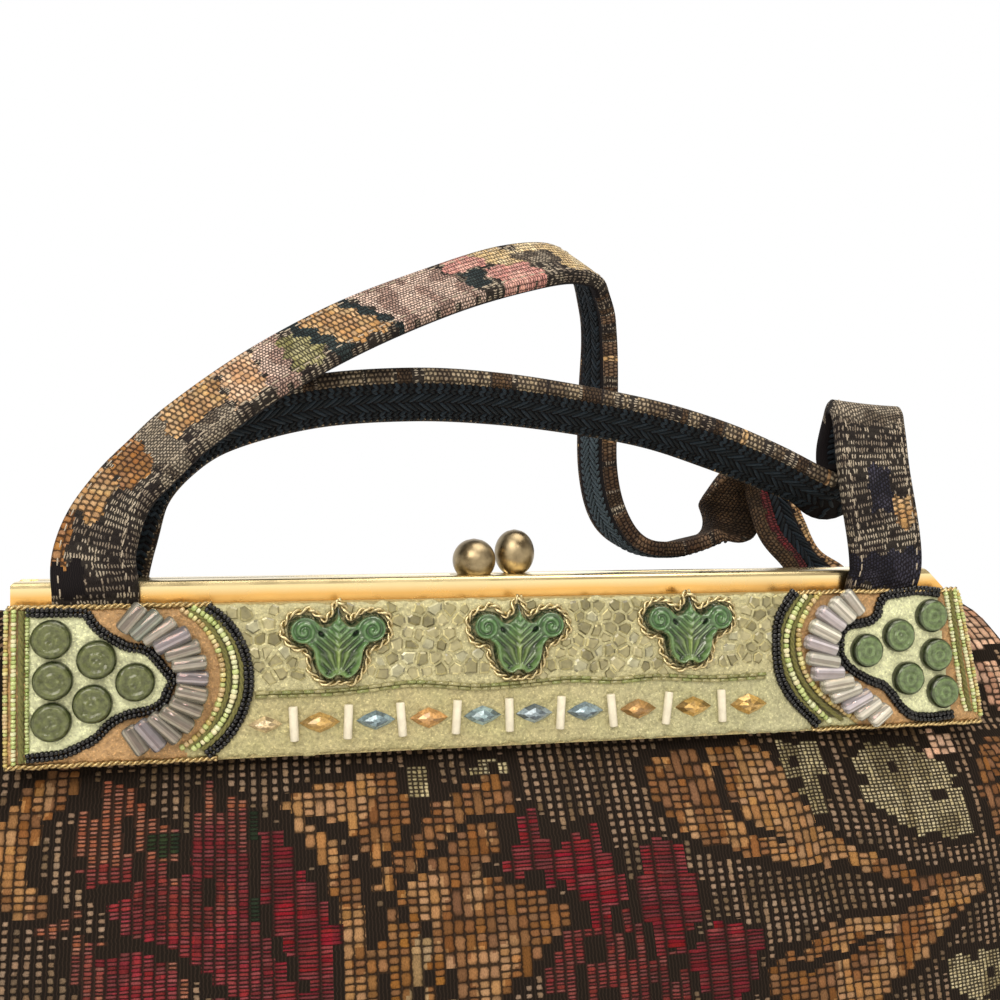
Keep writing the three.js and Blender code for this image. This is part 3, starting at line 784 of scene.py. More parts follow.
def float_of(kinds: Sequence[Enum], chosen: Array, second: Array) -> tuple[Array, Array]:
    """Looks up the floats of chosen yarns.

    Args:
        kinds: The yarns.
        chosen: Which of them is at each place.
        second: Whether it has its second tint there.

    Returns:
        The form and the tint of the float at each place.
    """
    form = np.array([kind.value[:4] for kind in kinds], dtype=float)[chosen]
    tints = np.array([[linear(kind.value[4]), linear(kind.value[5])] for kind in kinds])
    return form, tints[chosen, second.astype(int)]


@dataclass(frozen=True)
class Motif:
    """One patch of the tapestry's drawing: its yarn, its outline on the front cloth and its dark edge."""

    yarn: Yarn
    outline: Line
    edge: float = 1.9


MOTIFS: tuple[Motif, ...] = (
    Motif(Yarn.OLIVE, ((107, 113), (115, 114), (124, 112), (124, 104), (116, 102), (108, 105))),
    Motif(Yarn.OLIVE, ((72, 164), (82, 165), (84, 160), (81, 152), (80, 148), (76, 148.5), (75, 152),
        (72.5, 155), (71, 160))),
    Motif(Yarn.PINK_TAN, ((114, 159), (118, 165), (123, 165), (124, 159))),
    Motif(Yarn.PINK_TAN, ((-41, 195), (-37, 204), (-26, 204), (-19, 197), (-23, 188), (-34, 186))),
    Motif(Yarn.PINK_TAN, ((-37, 182), (-30, 184), (-21, 180), (-23, 169), (-33, 170))),
    Motif(Yarn.OLIVE, ((91, 158), (93, 162), (98, 163.5), (104, 163.5), (110, 162), (116, 159), (120, 156),
        (123, 150), (123, 141), (118, 140), (110, 141.5), (104, 143), (99, 146), (96, 149), (92, 151.5))),
    Motif(Yarn.OLIVE, ((-29, 157), (-28, 163), (-23, 163), (-22, 158), (-25, 156))),
    Motif(Yarn.OLIVE, ((-12, 161), (-11, 164.5), (-3, 164), (-2, 162), (-7, 160.5))),
    Motif(Yarn.TAN, ((-104, 168), (-104.5, 162), (-108, 158.5), (-112, 155), (-113, 151.5), (-114.5, 149),
        (-114.5, 144), (-111, 143), (-108.5, 140.5), (-110, 137.5), (-116, 138), (-120.5, 140), (-122, 150),
        (-121, 156), (-117, 161), (-112.5, 165), (-108, 168))),
    Motif(Yarn.TAN, ((-60, 157), (-55, 158.8), (-50, 160), (-46, 161.2), (-41, 161.8), (-36, 162.6),
        (-31.5, 161.5), (-29.5, 159), (-27.5, 157), (-26.8, 153.5), (-29, 151.5), (-31, 149), (-34, 146.5),
        (-36.5, 145), (-38, 140.5), (-39.2, 146), (-41.5, 150), (-44.5, 152.8), (-49, 154.4), (-54, 155))),
    Motif(Yarn.TAN, ((-58, 156), (-54, 153.8), (-50, 151.8), (-47.5, 150.3), (-46, 148), (-44, 146),
        (-42.8, 143), (-41, 142.5), (-41, 119), (-46.5, 119), (-46, 128), (-45.8, 136), (-47, 139.5),
        (-48.6, 144), (-51, 147), (-54, 150.5), (-56, 153.5))),
    Motif(Yarn.TAN, ((-2.5, 158.5), (-3.5, 160.5), (-6, 161.4), (-9.5, 160.8), (-13, 159), (-18, 157.8),
        (-21.5, 156.2), (-23.5, 154), (-25.5, 151.5), (-28, 149), (-30.5, 147), (-33, 144.5), (-36, 142),
        (-37.5, 139.5), (-34, 139.5), (-30.5, 141.8), (-27, 144.6), (-23.5, 147.8), (-20, 150.4),
        (-16, 152.2), (-13, 153.8), (-9, 153.2), (-4, 152.8))),
    Motif(Yarn.TAN, ((-6.5, 150), (-8, 151.6), (-12.5, 151.8), (-16, 150.2), (-19, 148.2), (-22, 145.6),
        (-26, 143), (-30, 140.4), (-26, 139), (-20, 141), (-14, 142.4), (-10.5, 144.2), (-8, 147))),
    Motif(Yarn.TAN, ((-31, 140), (-26, 141.5), (-22, 143), (-15, 142), (-11, 141), (-7, 139.8), (-3, 138.6),
        (1, 136.4), (5, 134.6), (8, 132), (6.5, 129.6), (3, 128), (0.5, 125.5), (-1, 122.5), (-4, 120.5),
        (-8, 118.5), (-12, 115), (-22, 112), (-30, 113), (-40, 117), (-39, 125), (-37, 131), (-34.5, 136))),
    Motif(Yarn.MIXED_TAN, ((-41, 117), (-39.5, 128), (-37, 133), (-33, 137), (-29, 137), (-26, 131),
        (-23, 126), (-20, 119), (-22, 111), (-34, 113)), 0),
    Motif(Yarn.TAN, ((104, 128), (99, 126.5), (92, 125), (84, 124.5), (75, 124), (70, 121), (65, 119),
        (60, 119), (55, 115), (58, 108), (66, 102), (76, 99), (84, 100), (86, 106), (90, 110), (95, 112),
        (100, 114), (103, 117), (107, 119), (112, 122), (107, 127))),
    Motif(Yarn.BARE, ((62, 117), (70, 117), (80, 119.5), (92, 121.5), (92, 120.5), (80, 117.5), (70, 114.5),
        (62, 115)), 0),
    Motif(Yarn.TAN, ((35, 163.5), (40, 163), (41, 165), (46, 165), (50, 164), (57, 165), (62, 165),
        (66, 163), (69, 161.5), (71, 157.5), (72, 153), (75, 150), (77.5, 146), (80.5, 143), (83, 141),
        (86, 139.5), (92, 138), (98, 135.5), (104, 133), (111, 133), (116, 132), (122, 130.5), (122, 127.5),
        (116, 126), (112, 123), (107, 128), (103, 130), (98, 131), (94, 133), (88, 134.5), (82, 137),
        (74, 137), (66, 138), (58, 140.5), (49, 143), (44, 143.5), (40, 146.5), (37, 149.5), (34, 154),
        (33, 160))),
    Motif(Yarn.BARE, ((49, 164), (51.5, 164), (53.5, 153.5), (59, 147), (66, 143.5), (66, 142), (57, 145.5),
        (51, 152.5)), 0),
    Motif(Yarn.WINE, ((-97, 140), (-93, 132.5), (-84, 131.5), (-79, 128), (-75, 124), (-70, 115),
        (-60, 108), (-58, 118), (-62, 132), (-65, 143), (-65, 150), (-79, 151), (-80, 145), (-84, 141),
        (-90, 139.5))),
    Motif(Yarn.CRIMSON, ((-64.5, 150), (-62, 153.5), (-59, 153), (-57, 149), (-55, 145), (-52, 142),
        (-50, 138), (-47.5, 136), (-46.5, 132), (-47.5, 127.5), (-49.5, 126), (-49.5, 118), (-52, 110),
        (-60, 108), (-60, 118), (-62, 132))),
    Motif(Yarn.ORANGE, ((-104, 154), (-102, 160), (-98, 163), (-94, 163), (-91, 159), (-89, 156),
        (-85.5, 154.5), (-82, 153), (-82, 148), (-80, 145), (-84, 141), (-90, 139.5), (-97, 140),
        (-101, 143), (-104, 148))),
    Motif(Yarn.BRICK, ((-104, 146), (-98, 147), (-90, 148), (-81, 147), (-84, 141), (-90, 139.5),
        (-97, 140)), 0),
    Motif(Yarn.GREEN, ((-89, 152.5), (-82.5, 153), (-82, 149), (-87, 147.5)), 0.5),
    Motif(Yarn.ORANGE, ((-79, 149), (-78.5, 158), (-76.5, 161), (-73.5, 162.5), (-70.5, 161), (-68.5, 158),
        (-66.5, 160.5), (-65.5, 156), (-66, 149)), 1.0),
    Motif(Yarn.WINE, ((-79, 148), (-77, 152), (-73, 154.5), (-69, 151), (-66, 148)), 0),
    Motif(Yarn.GREEN, ((-66, 151), (-65.5, 157), (-63.5, 156), (-63.5, 151)), 0.4),
    Motif(Yarn.GREEN, ((-66, 135), (-66, 140), (-63.5, 140.5), (-63, 135.5)), 0.4),
    Motif(Yarn.BRICK, ((-92, 139), (-80, 142), (-72, 147), (-68, 140), (-74, 133), (-84, 133)), 0),
    Motif(Yarn.BARE, ((-67, 152), (-65.2, 152), (-63.8, 143), (-61.5, 136), (-57.5, 129), (-53.5, 121),
        (-55.5, 120), (-59.5, 127.5), (-63.5, 135), (-65.6, 143)), 0),
    Motif(Yarn.ORANGE, ((-107, 132), (-103, 133.5), (-96, 131.5), (-90, 132.5), (-84, 131), (-80, 127.5),
        (-79, 124), (-82, 116), (-90, 112), (-97, 116), (-103, 124)), 1.1),
    Motif(Yarn.WINE, ((-98, 129), (-90, 130), (-83, 128), (-81, 123), (-86, 117), (-92, 117),
        (-97, 122)), 0),
    Motif(Yarn.ORANGE, ((-112, 134), (-108, 137.5), (-102, 138.5), (-103, 136), (-108, 134)), 0.8),
    Motif(Yarn.BARE, ((-98, 131.6), (-90, 132), (-82, 130.6), (-76, 125.4), (-67.5, 120.4), (-68, 118.4),
        (-77, 123), (-83, 128.2), (-90, 129.6), (-98, 129.4)), 0),
    Motif(Yarn.CRIMSON, ((-7.5, 141.5), (-5, 146.5), (-2.5, 150), (0, 153), (2, 152.5), (3.5, 149),
        (5.5, 148.5), (6, 144.5), (8.5, 146.5), (12, 149), (14, 147), (14.5, 150), (19, 150.5), (19, 143),
        (20.5, 143), (20.5, 140), (22, 138.5), (22, 133), (19.5, 132.5), (17.5, 131.5), (17, 129),
        (12.5, 128.5), (12.5, 134), (10, 135), (8, 138), (4, 138), (1, 140.5), (-3, 141))),
    Motif(Yarn.BRICK, ((0, 117), (3, 125), (7, 128), (10, 129.5), (13, 128), (17, 130.5), (22, 132),
        (25, 128), (26, 122), (33, 122), (36, 117), (34, 110), (26, 106), (14, 107), (4, 111)), 1.0),
    Motif(Yarn.CRIMSON, ((24.5, 130.5), (24.5, 135.5), (25.5, 138.5), (28, 139.5), (28.5, 145), (32, 145.5),
        (34.5, 146.5), (38, 144.5), (38, 138), (41, 137.5), (41, 132), (39.5, 128), (36.5, 126.5),
        (35.5, 122), (33, 123), (30, 122), (27, 122), (27, 130)), 1.0),
    Motif(Yarn.CRIMSON, ((37, 116), (36.5, 122.5), (40, 124.5), (42, 127), (46, 128), (50, 126.5),
        (53, 126), (55.5, 125), (55.5, 121.5), (53, 119), (51.5, 113), (47, 110), (44, 109),
        (41, 111)), 1.0),
)


@dataclass
class TapestryChart:
    """The weaver's chart: which yarn shows at each place of the cloth, repeated in half drops."""

    column: float = 2.54
    pick: float = 0.79
    ragged: float = 0.5  # how far a column's end is off the drawn line
    repeat: float = 250.0
    drop: float = 63.0
    rows: range = range(3, -1, -1)
    seam: float = 169.0  # motifs above the panel's foot are not repeated
    # A yarn that is skipped in places, the picks in a skip and the share of places that have one
    skips: tuple[tuple[Yarn, int, float], ...] = (
        (Yarn.MIXED_TAN, 4, 0.27), (Yarn.BRICK, 7, 0.2), (Yarn.ORANGE, 9, 0.16), (Yarn.OLIVE, 3, 0.06),
    )
    # Which share of the long floats are of another length, their picks and half their length
    lengths: Rows = ((0, 0.07, 8, 0.47), (0.07, 0.62, 2, 0.43))
    long: int = 4  # picks that a long float spans

    def read(self, places: Array) -> tuple[Array, Array]:
        """Finds the yarn at places on the cloth.

        Args:
            places: Across and up the cloth, as on the front.

        Returns:
            The form and the tint of the float at each place.
        """
        kinds = list(Yarn)
        lane, pick = np.floor(places / [self.column, self.pick]).T
        chosen = np.full(len(places), kinds.index(Yarn.DOTS))
        half = 0.5 * self.repeat
        for row in self.rows:
            for motif in MOTIFS:
                outline = np.array(motif.outline, dtype=float)
                if row and outline[:, 1].max() > self.seam:
                    continue
                tall = 2 if motif.yarn.value[1] > 1 else 1
                ragged = self.ragged * (3 - tall)
                across = ((lane + 0.5) * self.column - half * (row % 2) + half) % self.repeat - half
                up = (np.floor(pick / tall) + 0.5) * tall * self.pick
                up += self.drop * row + ragged * (2 * scatter(lane, 0 * lane) - 1)
                moved = np.column_stack([across, up])
                low, high = outline.min(axis=0) - motif.edge, outline.max(axis=0) + motif.edge
                near = np.flatnonzero(((moved >= low) & (moved <= high)).all(axis=1))
                deep = depth_inside(moved[near], outline)
                fringe = near[(deep > -motif.edge) & (chosen[near] == kinds.index(Yarn.DOTS))]
                chosen[fringe] = kinds.index(Yarn.BARE)
                chosen[near[deep > 0]] = kinds.index(motif.yarn)
        for yarn, picks, share in self.skips:
            skipped = scatter(lane, np.floor(pick / picks)) < share
            chosen[skipped & (chosen == kinds.index(yarn))] = kinds.index(Yarn.BARE)
        patches = waves(places, 9.0, 3) > 0.1
        form, tint = float_of(kinds, chosen, patches)
        draw = scatter(lane, np.floor(pick / 8) + 0.5)
        for low, high, picks, reach in self.lengths:
            form[(form[:, 1] == self.long) & (draw >= low) & (draw < high), 1::2] = picks, reach
        return form, tint

    def swell(self, places: Array, form: Array) -> Array:
        """Finds how far the floats stand out.

        Args:
            places: Across and up the cloth.
            form: The form of the float at each place.

        Returns:
            A share from 0 to 1 for each place.
        """
        stands = np.ones(len(places))
        for axis, spacing in enumerate((self.column, self.pick)):
            within = np.abs(places[:, axis] / spacing / form[:, axis] % 1 - 0.5)
            stands *= 1 - ease((within - form[:, axis + 2] + 0.3) / 0.37)
        return stands


@dataclass
class TapestryBody:
    """The bag's soft walls and base: a shell that swells under the frame and sags into folds."""

    # Height, half the width and half the depth
    rows: Rows = (
        (2.3, 134, 38), (9, 143, 46), (24, 149.5, 48.5), (60, 155, 47.5), (95, 158, 43), (125, 158, 35),
        (146, 156.5, 25), (158, 155, 15.5), (167.6, 153, 5.5), (178, 150, 5.4), (188, 145.5, 5.4),
        (195.5, 138.5, 5.4), (200.3, 131.5, 5.2), (203, 124, 4.4),
    )
    # Place across, depth, width, top and foot of each fold
    folds: Rows = (
        (80, 3.6, 8, 167, 88), (-84, 2.6, 9, 166, 96), (-34, 1.8, 11, 164, 112), (27, 2, 10, 165, 104),
    )
    roundness: float = 2.6  # 2 for an oval section, more for a squarer one
    seam: float = 0.61  # angle from the side to where a gusset meets a wall
    relief: float = 0.14
    neck: Pair = (167.6, 5.5)  # where the cloth goes into the frame, and half its depth there
    level: float = 110.0  # height where a wall's columns are evenly spaced
    turning: Pair = (105.0, 30.0)  # where the chart begins to bend round, and over what width
    base_grid: float = 2.0
    base_tuck: float = 0.3  # how far the base's top lies below the foot of the walls
    base_flat: Pair = (268.0, 76.0)
    base_cut: float = 0.9  # share of its width and length that the oval fills
    chart: TapestryChart = field(default_factory=TapestryChart)

    def size_at(self, z: Array) -> tuple[Array, Array]:
        """Finds the bag's size with the table's corners rounded.

        Args:
            z: Heights.

        Returns:
            Half the width and half the depth at each height.
        """
        table = np.array(self.rows)
        reach = 8
        fine = np.arange(table[0, 0] - reach, table[-1, 0] + reach, 0.5)
        kernel = np.hanning(2 * reach + 1)
        hold = ease((z - table[0, 0]) / 6) * ease((table[-1, 0] - z) / 3)
        sizes = []
        for column in (1, 2):
            plain = np.interp(fine, table[:, 0], table[:, column])
            smooth = np.convolve(np.pad(plain, reach, mode="edge"), kernel / kernel.sum(), mode="valid")
            exact = np.interp(z, table[:, 0], table[:, column])
            sizes.append(exact + (np.interp(z, fine, smooth) - exact) * hold)
        start, most = self.neck
        return sizes[0], np.where(z > start, np.minimum(sizes[1], most), sizes[1])

    def surface(self, angle: Array, z: Array) -> Array:
        """Finds places on the outside of the cloth.

        Args:
            angle: Angles from the right-hand side.
            z: Heights.

        Returns:
            The places.
        """
        wide, deep = self.size_at(z)
        power = 2 / self.roundness
        x = wide * np.sign(np.cos(angle)) * np.abs(np.cos(angle)) ** power
        y = -deep * np.sign(np.sin(angle)) * np.abs(np.sin(angle)) ** power
        drawn = np.zeros_like(x)
        for middle, depth, width, top, foot in self.folds:
            down = np.clip((top - z) / (top - foot), 0, 1)
            drawn += depth * np.sin(math.pi * np.sqrt(down)) ** 2 * np.exp(-(((x - middle) / width) ** 2))
        return np.stack([x, y - np.sign(y) * drawn, z], axis=-1)

    def wall(self, name: str, span: Pair, shift: float, flat: Pair) -> None:
        """Sews one wall of the bag.

        Args:
            name: The CAD node that it stands for.
            span: Angles where it begins and ends.
            shift: Where the chart's middle falls, across the wall.
            flat: Width and length of the wall's cloth before it was sewn.
        """
        columns = round(flat[0] / (self.chart.column / 3))
        low, high = self.rows[0][0], self.rows[-1][0]
        heights = np.linspace(low, high, round((high - low) / self.chart.pick) + 1)
        guide = np.linspace(*span, 40 * columns)
        run = run_lengths(self.surface(guide, np.full_like(guide, self.level)))
        angles = np.interp(np.linspace(0, run[-1], columns + 1), run, guide)
        angle, z = np.meshgrid(angles, heights)
        skin = self.surface(angle, z)
        step = np.linalg.norm(np.diff(skin[..., :2], axis=1), axis=2)
        middle = np.abs(np.diff(skin[..., 0], axis=1))
        start, width = self.turning
        turn = ease((np.abs(skin[:, 1:, 0]) - start) / width)
        run = np.cumsum(middle + (step - middle) * turn, axis=1)
        across = np.concatenate([np.zeros((len(heights), 1)), run], axis=1)
        across -= across[:, [columns // 2]]
        across += shift
        quads = grid_faces(len(heights), columns + 1)
        spots = np.stack([across.ravel(), z.ravel()], axis=1)
        form, tint = self.chart.read(spots[quads].mean(axis=1))
        stands = self.chart.swell(spots, self.chart.read(spots)[0])[:, None] - 0.5
        out = unit(np.cross(np.gradient(skin, axis=1), np.gradient(skin, axis=0)))
        raised = skin.reshape(-1, 3) + out.reshape(-1, 3) * self.relief * stands
        piece = Piece(name + "_cloth")
        piece.add((raised, quads.tolist()), tint)
        made = piece.build(BODY_TAPESTRY, "tapestry", name)
        add_weave(made, spots[quads].reshape(-1, 2) / [self.chart.column, self.chart.pick], form)
        width, length = flat[0] * MM, flat[1] * MM

    def base(self) -> None:
        """Sews the base, a flat oval of the same cloth."""
        foot = self.rows[0][0]
        angle = np.linspace(0, 2 * math.pi, 120, endpoint=False)
        rim = self.surface(angle, np.full_like(angle, foot))[:, :2]
        top = foot - self.base_tuck
        points, faces = relief(rim, self.base_grid, lambda flat, deep: np.full(len(flat), top))
        piece = Piece("base_cloth")
        form, tint = self.chart.read(points[:, :2][np.array([face[:4] for face in faces])].mean(axis=1))
        piece.add((points, faces), tint)
        made = piece.build(BODY_TAPESTRY, "tapestry", "base")
        corners = points[np.concatenate(faces)][:, :2] / [self.chart.column, self.chart.pick]
        add_weave(made, corners, form)

    def build(self) -> None:
        """Sews the four walls and the base."""
        seam, turn = self.seam, math.pi
        self.wall("body_front", (turn - seam, seam), 0.0, (275, 222))
        self.wall("body_back", (-seam, seam - turn), 55.0, (275, 222))
        self.wall("gusset_left", (turn + seam, turn - seam), 170.0, (80, 221))
        self.wall("gusset_right", (seam, -seam), 230.0, (80, 221))
        self.base()


class StrapYarn(Enum):
    """Kinds of float on the finer strap cloth, as for Yarn."""

    DASH = (0.55, 2.2, 0.32, 0.33, "a59a8b", "7c7166")
    NAVY = (1, 1, 0.001, 0.001, "1b1a20", "1b1a20")
    BARS = (1.05, 1.5, 0.35, 0.34, "9a8b76", "716353")
    HUSK = (1.1, 1.4, 0.45, 0.41, "6f5a49", "503f33")
    INDIGO = (0.6, 1.4, 0.42, 0.37, "3a3947", "292935")
    TAN = (1.7, 1.7, 0.46, 0.4, "ad8860", "bd9c72")
    ORANGE = (1.7, 1.7, 0.46, 0.4, "9a6f47", "8c633f")
    PEACH = (1.5, 1.5, 0.47, 0.42, "d0ae90", "bd9777")
    SPECKLE = (0.6, 1.4, 0.37, 0.36, "9f9485", "6b6156")
    OLIVE = (1.6, 1, 0.46, 0.36, "a09b74", "848058")
    TEAL = (1, 1, 0.45, 0.45, "2a3437", "343e40")
    DOT_PINK = (0.75, 1.1, 0.39, 0.38, "d6bcb0", "ac9086")
    ROSE = (1.2, 1, 0.48, 0.45, "d3a298", "c38d86")
    CREAM = (1.2, 1.2, 0.47, 0.43, "dccaa6", "c6ae86")
    # brown yarn on the folded edge, also used as painted shadow on the upper strap's curl
    BROWN = (0.8, 1.2, 0.45, 0.42, "564536", "44372c")
    CRIMSON = (1.5, 1, 0.45, 0.4, "743438", "5e2c30")


@dataclass(frozen=True)
class StrapPatch:
    """A patch of the strap's drawing: its yarn, and a slanted box along and across the strap."""

    yarn: StrapYarn
    start: float
    end: float
    low: float
    high: float
    slant: float = 0.0
    inside: bool = False  # drawn on the braid's side


@dataclass
class StrapHandle:
    """A strap handle: a flat tube of fine tapestry with a gimp braid sewn along its inner face."""

    node: str
    route: Rows
    patches: tuple[StrapPatch, ...]
    ground: StrapYarn
    inner: StrapYarn
    braid: Pair  # how far along the braid runs
    width: float = 19.5
    column: float = 1.35
    pick: float = 0.78
    loop: float = 1.9  # from one braid loop to the next
    edging: int = 4  # how many rows of loops the braid has on each side
    narrow: float = 900.0  # where it loses its looped edge
    painted_light_span: Pair = (900.0, 900.0)  # where painted light lies on the braid, lighter and bluer
    rim: Pair = (0.0, 240.0)  # where the folded edge has a drawing of its own
    rim_yarn: StrapYarn = StrapYarn.BARS
    stitched: float = 900.0  # how far along the stitches show
    stiffness: float = 5.5  # the length over which the strap evens out its bends
    rounding: float = 0.7  # how far in from an edge the strap begins to round over
    threads: tuple[int, int] = (27, 15)  # points across the outer and the inner face
    gimp_tints: tuple[str, ...] = ("192129", "222c36", "13191f")
    # the braid's colour under the painted light
    painted_light_tint: str = "4c5a64"
    stitch_tint: str = "b3a695"
    stitch: float = 3.1  # from one stitch to the next
    inset: float = 2.1  # from the strap's edge to its stitches

    def painted_light(self, along: float) -> float:
        """How far painted light lies on the braid at a place along it, from 0 to 1."""
        start, end = self.painted_light_span
        return float(ease((along - start) / 15) * (1 - ease((along - end) / 15)))

    def sections(self, spacing: float) -> tuple[Array, Array, Array, Array, Array]:
        """Finds the strap's middle line.

        Args:
            spacing: Distance between its points.

        Returns:
            Places, directions across, outward directions, thickness and distance along.
        """
        fine = 0.3
        rows = evenly(spline(np.array(self.route, dtype=float), 1200), fine)
        reach = round(self.stiffness / fine / 2)
        padded = np.pad(rows, ((reach, reach), (0, 0)), mode="reflect", reflect_type="odd")
        share = np.full(2 * reach + 1, 1 / (2 * reach + 1))
        rows = np.stack([np.convolve(column, share, mode="valid") for column in padded.T], axis=1)
        rows = evenly(rows, spacing)
        along = unit(np.gradient(rows[:, :3], axis=0))
        across = rows[:, 3:6] - (rows[:, 3:6] * along).sum(axis=1, keepdims=True) * along
        across = unit(across)
        return rows[:, :3], across, np.cross(along, across), rows[:, 6], run_lengths(rows[:, :3])

    def read(self, along: Array, across: Array, outer: Array) -> tuple[Array, Array]:
        """Finds the yarn at places on the strap.

        Args:
            along: Distance from its start.
            across: Distance from its middle line.
            outer: Whether a place is on the outer face.

        Returns:
            The form and the tint of the float at each place.
        """
        kinds = list(StrapYarn)
        chosen = np.where(outer, kinds.index(self.ground), kinds.index(self.inner))
        for patch in self.patches:
            ripple = 0.9 * np.sin(across * 1.1 + patch.start)
            start = patch.start + patch.slant * across + ripple
            held = (along > start) & (along < start + patch.end - patch.start)
            wander = 0.4 * np.sin(along)
            held &= (across > patch.low + wander) & (across < patch.high + wander)
            chosen[held & (outer != patch.inside)] = kinds.index(patch.yarn)
        edge = np.abs(across) > self.width / 2 - 1.3 * (1 - outer) - 0.6
        edge &= (along > self.rim[0]) & (along < self.rim[1])
        block = np.sin(along * 0.51) + np.sin(along * 0.233 + 2) + 0.5 * np.sin(along * 1.3)
        blocks = ((-3, StrapYarn.BROWN), (-1.1, StrapYarn.DASH), (-0.3, self.rim_yarn), (2.1, StrapYarn.TAN))
        for low, yarn in blocks:
            chosen[edge & (block > low)] = kinds.index(yarn)
        return float_of(kinds, chosen, waves(np.column_stack([along, across]), 5.0, 8) > 0)

    def casing(self) -> None:
        """Folds the strap's cloth round so that its edges turn in to the inner face."""
        middle, across, out, thick, run = self.sections(self.pick)
        half = self.width / 2
        flat, bend = half - self.rounding, np.array([half - 0.15, half, half - 0.15])
        outer, inner = np.linspace(-flat, flat, self.threads[0]), np.linspace(flat, -flat, self.threads[1])
        fall = np.array([0.32, 0, -0.32])
        spots = np.concatenate([outer, bend, inner, -bend])
        lift = np.concatenate([np.full(len(outer), 0.5), fall, np.full(len(inner), -0.5), -fall])
        crown = 0.05 * np.clip(1 - (spots / half) ** 2, 0, 1) * np.sign(lift)
        around = len(spots)
        skin = middle[:, None] + spots[:, None] * across[:, None]
        skin = skin + ((lift + crown)[:, None] * out[:, None]) * thick[:, None, None]
        quads = grid_faces(len(run), around, wrap_columns=True)[:, ::-1]
        steps = np.hypot(np.diff(spots, append=spots[0]), 4 * np.diff(lift, append=0.5))
        unrolled = np.concatenate([[0], np.cumsum(steps)])
        u, v = np.meshgrid(unrolled / self.column, run / self.pick)
        corners = np.stack([u.ravel(), v.ravel()], axis=1)[grid_faces(len(run), around + 1)[:, ::-1]]
        centre_along = run[quads // around].mean(axis=1)
        centre_across = spots[quads % around].mean(axis=1)
        form, tint = self.read(centre_along, centre_across, lift[quads % around].mean(axis=1) > -0.2)
        last = (len(run) - 1) * around
        ends = [list(range(around)), [last + k for k in range(around)][::-1]]
        piece = Piece(self.node + "_casing")
        piece.add((skin.reshape(-1, 3), quads.tolist() + ends), np.vstack([tint, tint[:2]]))
        made = piece.build(STRAP_TAPESTRY, "strap_tapestry", self.node)
        flat_ends = np.zeros((2 * around, 2))
        add_weave(made, np.vstack([corners.reshape(-1, 2), flat_ends]), np.vstack([form, form[:2]]))

    def gimp(self) -> None:
        """Lays the gimp braid: two rows of slanted loops that meet in the middle, with looped edges."""
        middle, across, out, thick, run = self.sections(self.loop / 2)
        along = unit(np.gradient(middle, axis=0))
        stitch = turned([(0.2, -2.7), (0.5, -2.2), (0.62, 0.0), (0.5, 2.2), (0.2, 2.7)], 6)
        knot = turned([(0.2, -1.1), (0.5, -0.7), (0.6, 0.0), (0.5, 0.7), (0.2, 1.1)], 6)
        piece = Piece(self.node + "_gimp_braid")
        shades = np.array([linear(shade) for shade in self.gimp_tints])
        painted_light = linear(self.painted_light_tint) - shades
        # A loop, how far out from the middle it lies and how it leans
        loops = ((stitch, 2.1, 0.75), (knot, 4.9, -0.7), (knot, 6.3, 0.9), (knot, 7.7, -0.5))
        for k in range(len(run)):
            if not self.braid[0] < run[k] < self.braid[1]:
                continue
            side = 1 if k % 2 else -1
            base = middle[k] - out[k] * (thick[k] / 2 + 0.25)
            # painted light: towards a blue-grey where light falls on this part of the braid
            shade = shades[k % 3] + 0.75 * painted_light[k % 3] * self.painted_light(run[k])
            for solid, offset, lean in loops[: 1 if run[k] > self.narrow else self.edging]:
                way = unit(math.sin(lean) * along[k] + side * math.cos(lean) * across[k])
                beside = np.cross(out[k], way)
                points = solid[0] @ np.stack([beside, out[k] * 0.8, way])
                piece.add((points + base + side * offset * across[k], solid[1]), shade)
        piece.build(GIMP_BRAID, "strap_tapestry")

    def topstitch(self) -> None:
        """Sews pale stitches along both edges of the outer face."""
        middle, across, out, thick, run = self.sections(self.stitch)
        along = unit(np.gradient(middle, axis=0))
        stitch = turned([(0.06, -0.95), (0.17, -0.8), (0.21, 0.0), (0.17, 0.8), (0.06, 0.95)], 6)
        piece = Piece(self.node + "_topstitch")
        for k in range(4, len(run) - 3):
            if run[k] > self.stitched:
                break
            for side in (-1, 1):
                base = middle[k] + out[k] * (0.52 * thick[k] + 0.02)
                base = base + side * (self.width / 2 - self.inset) * across[k]
                axes = np.stack([across[k], out[k], along[k]])
                piece.add((stitch[0] @ axes + base, stitch[1]), self.stitch_tint)
        piece.build(STITCH_THREAD, "strap_tapestry")

    def build(self) -> None:
        """Makes the casing, its braid and its stitches."""
        self.casing()
        self.gimp()
        self.topstitch()


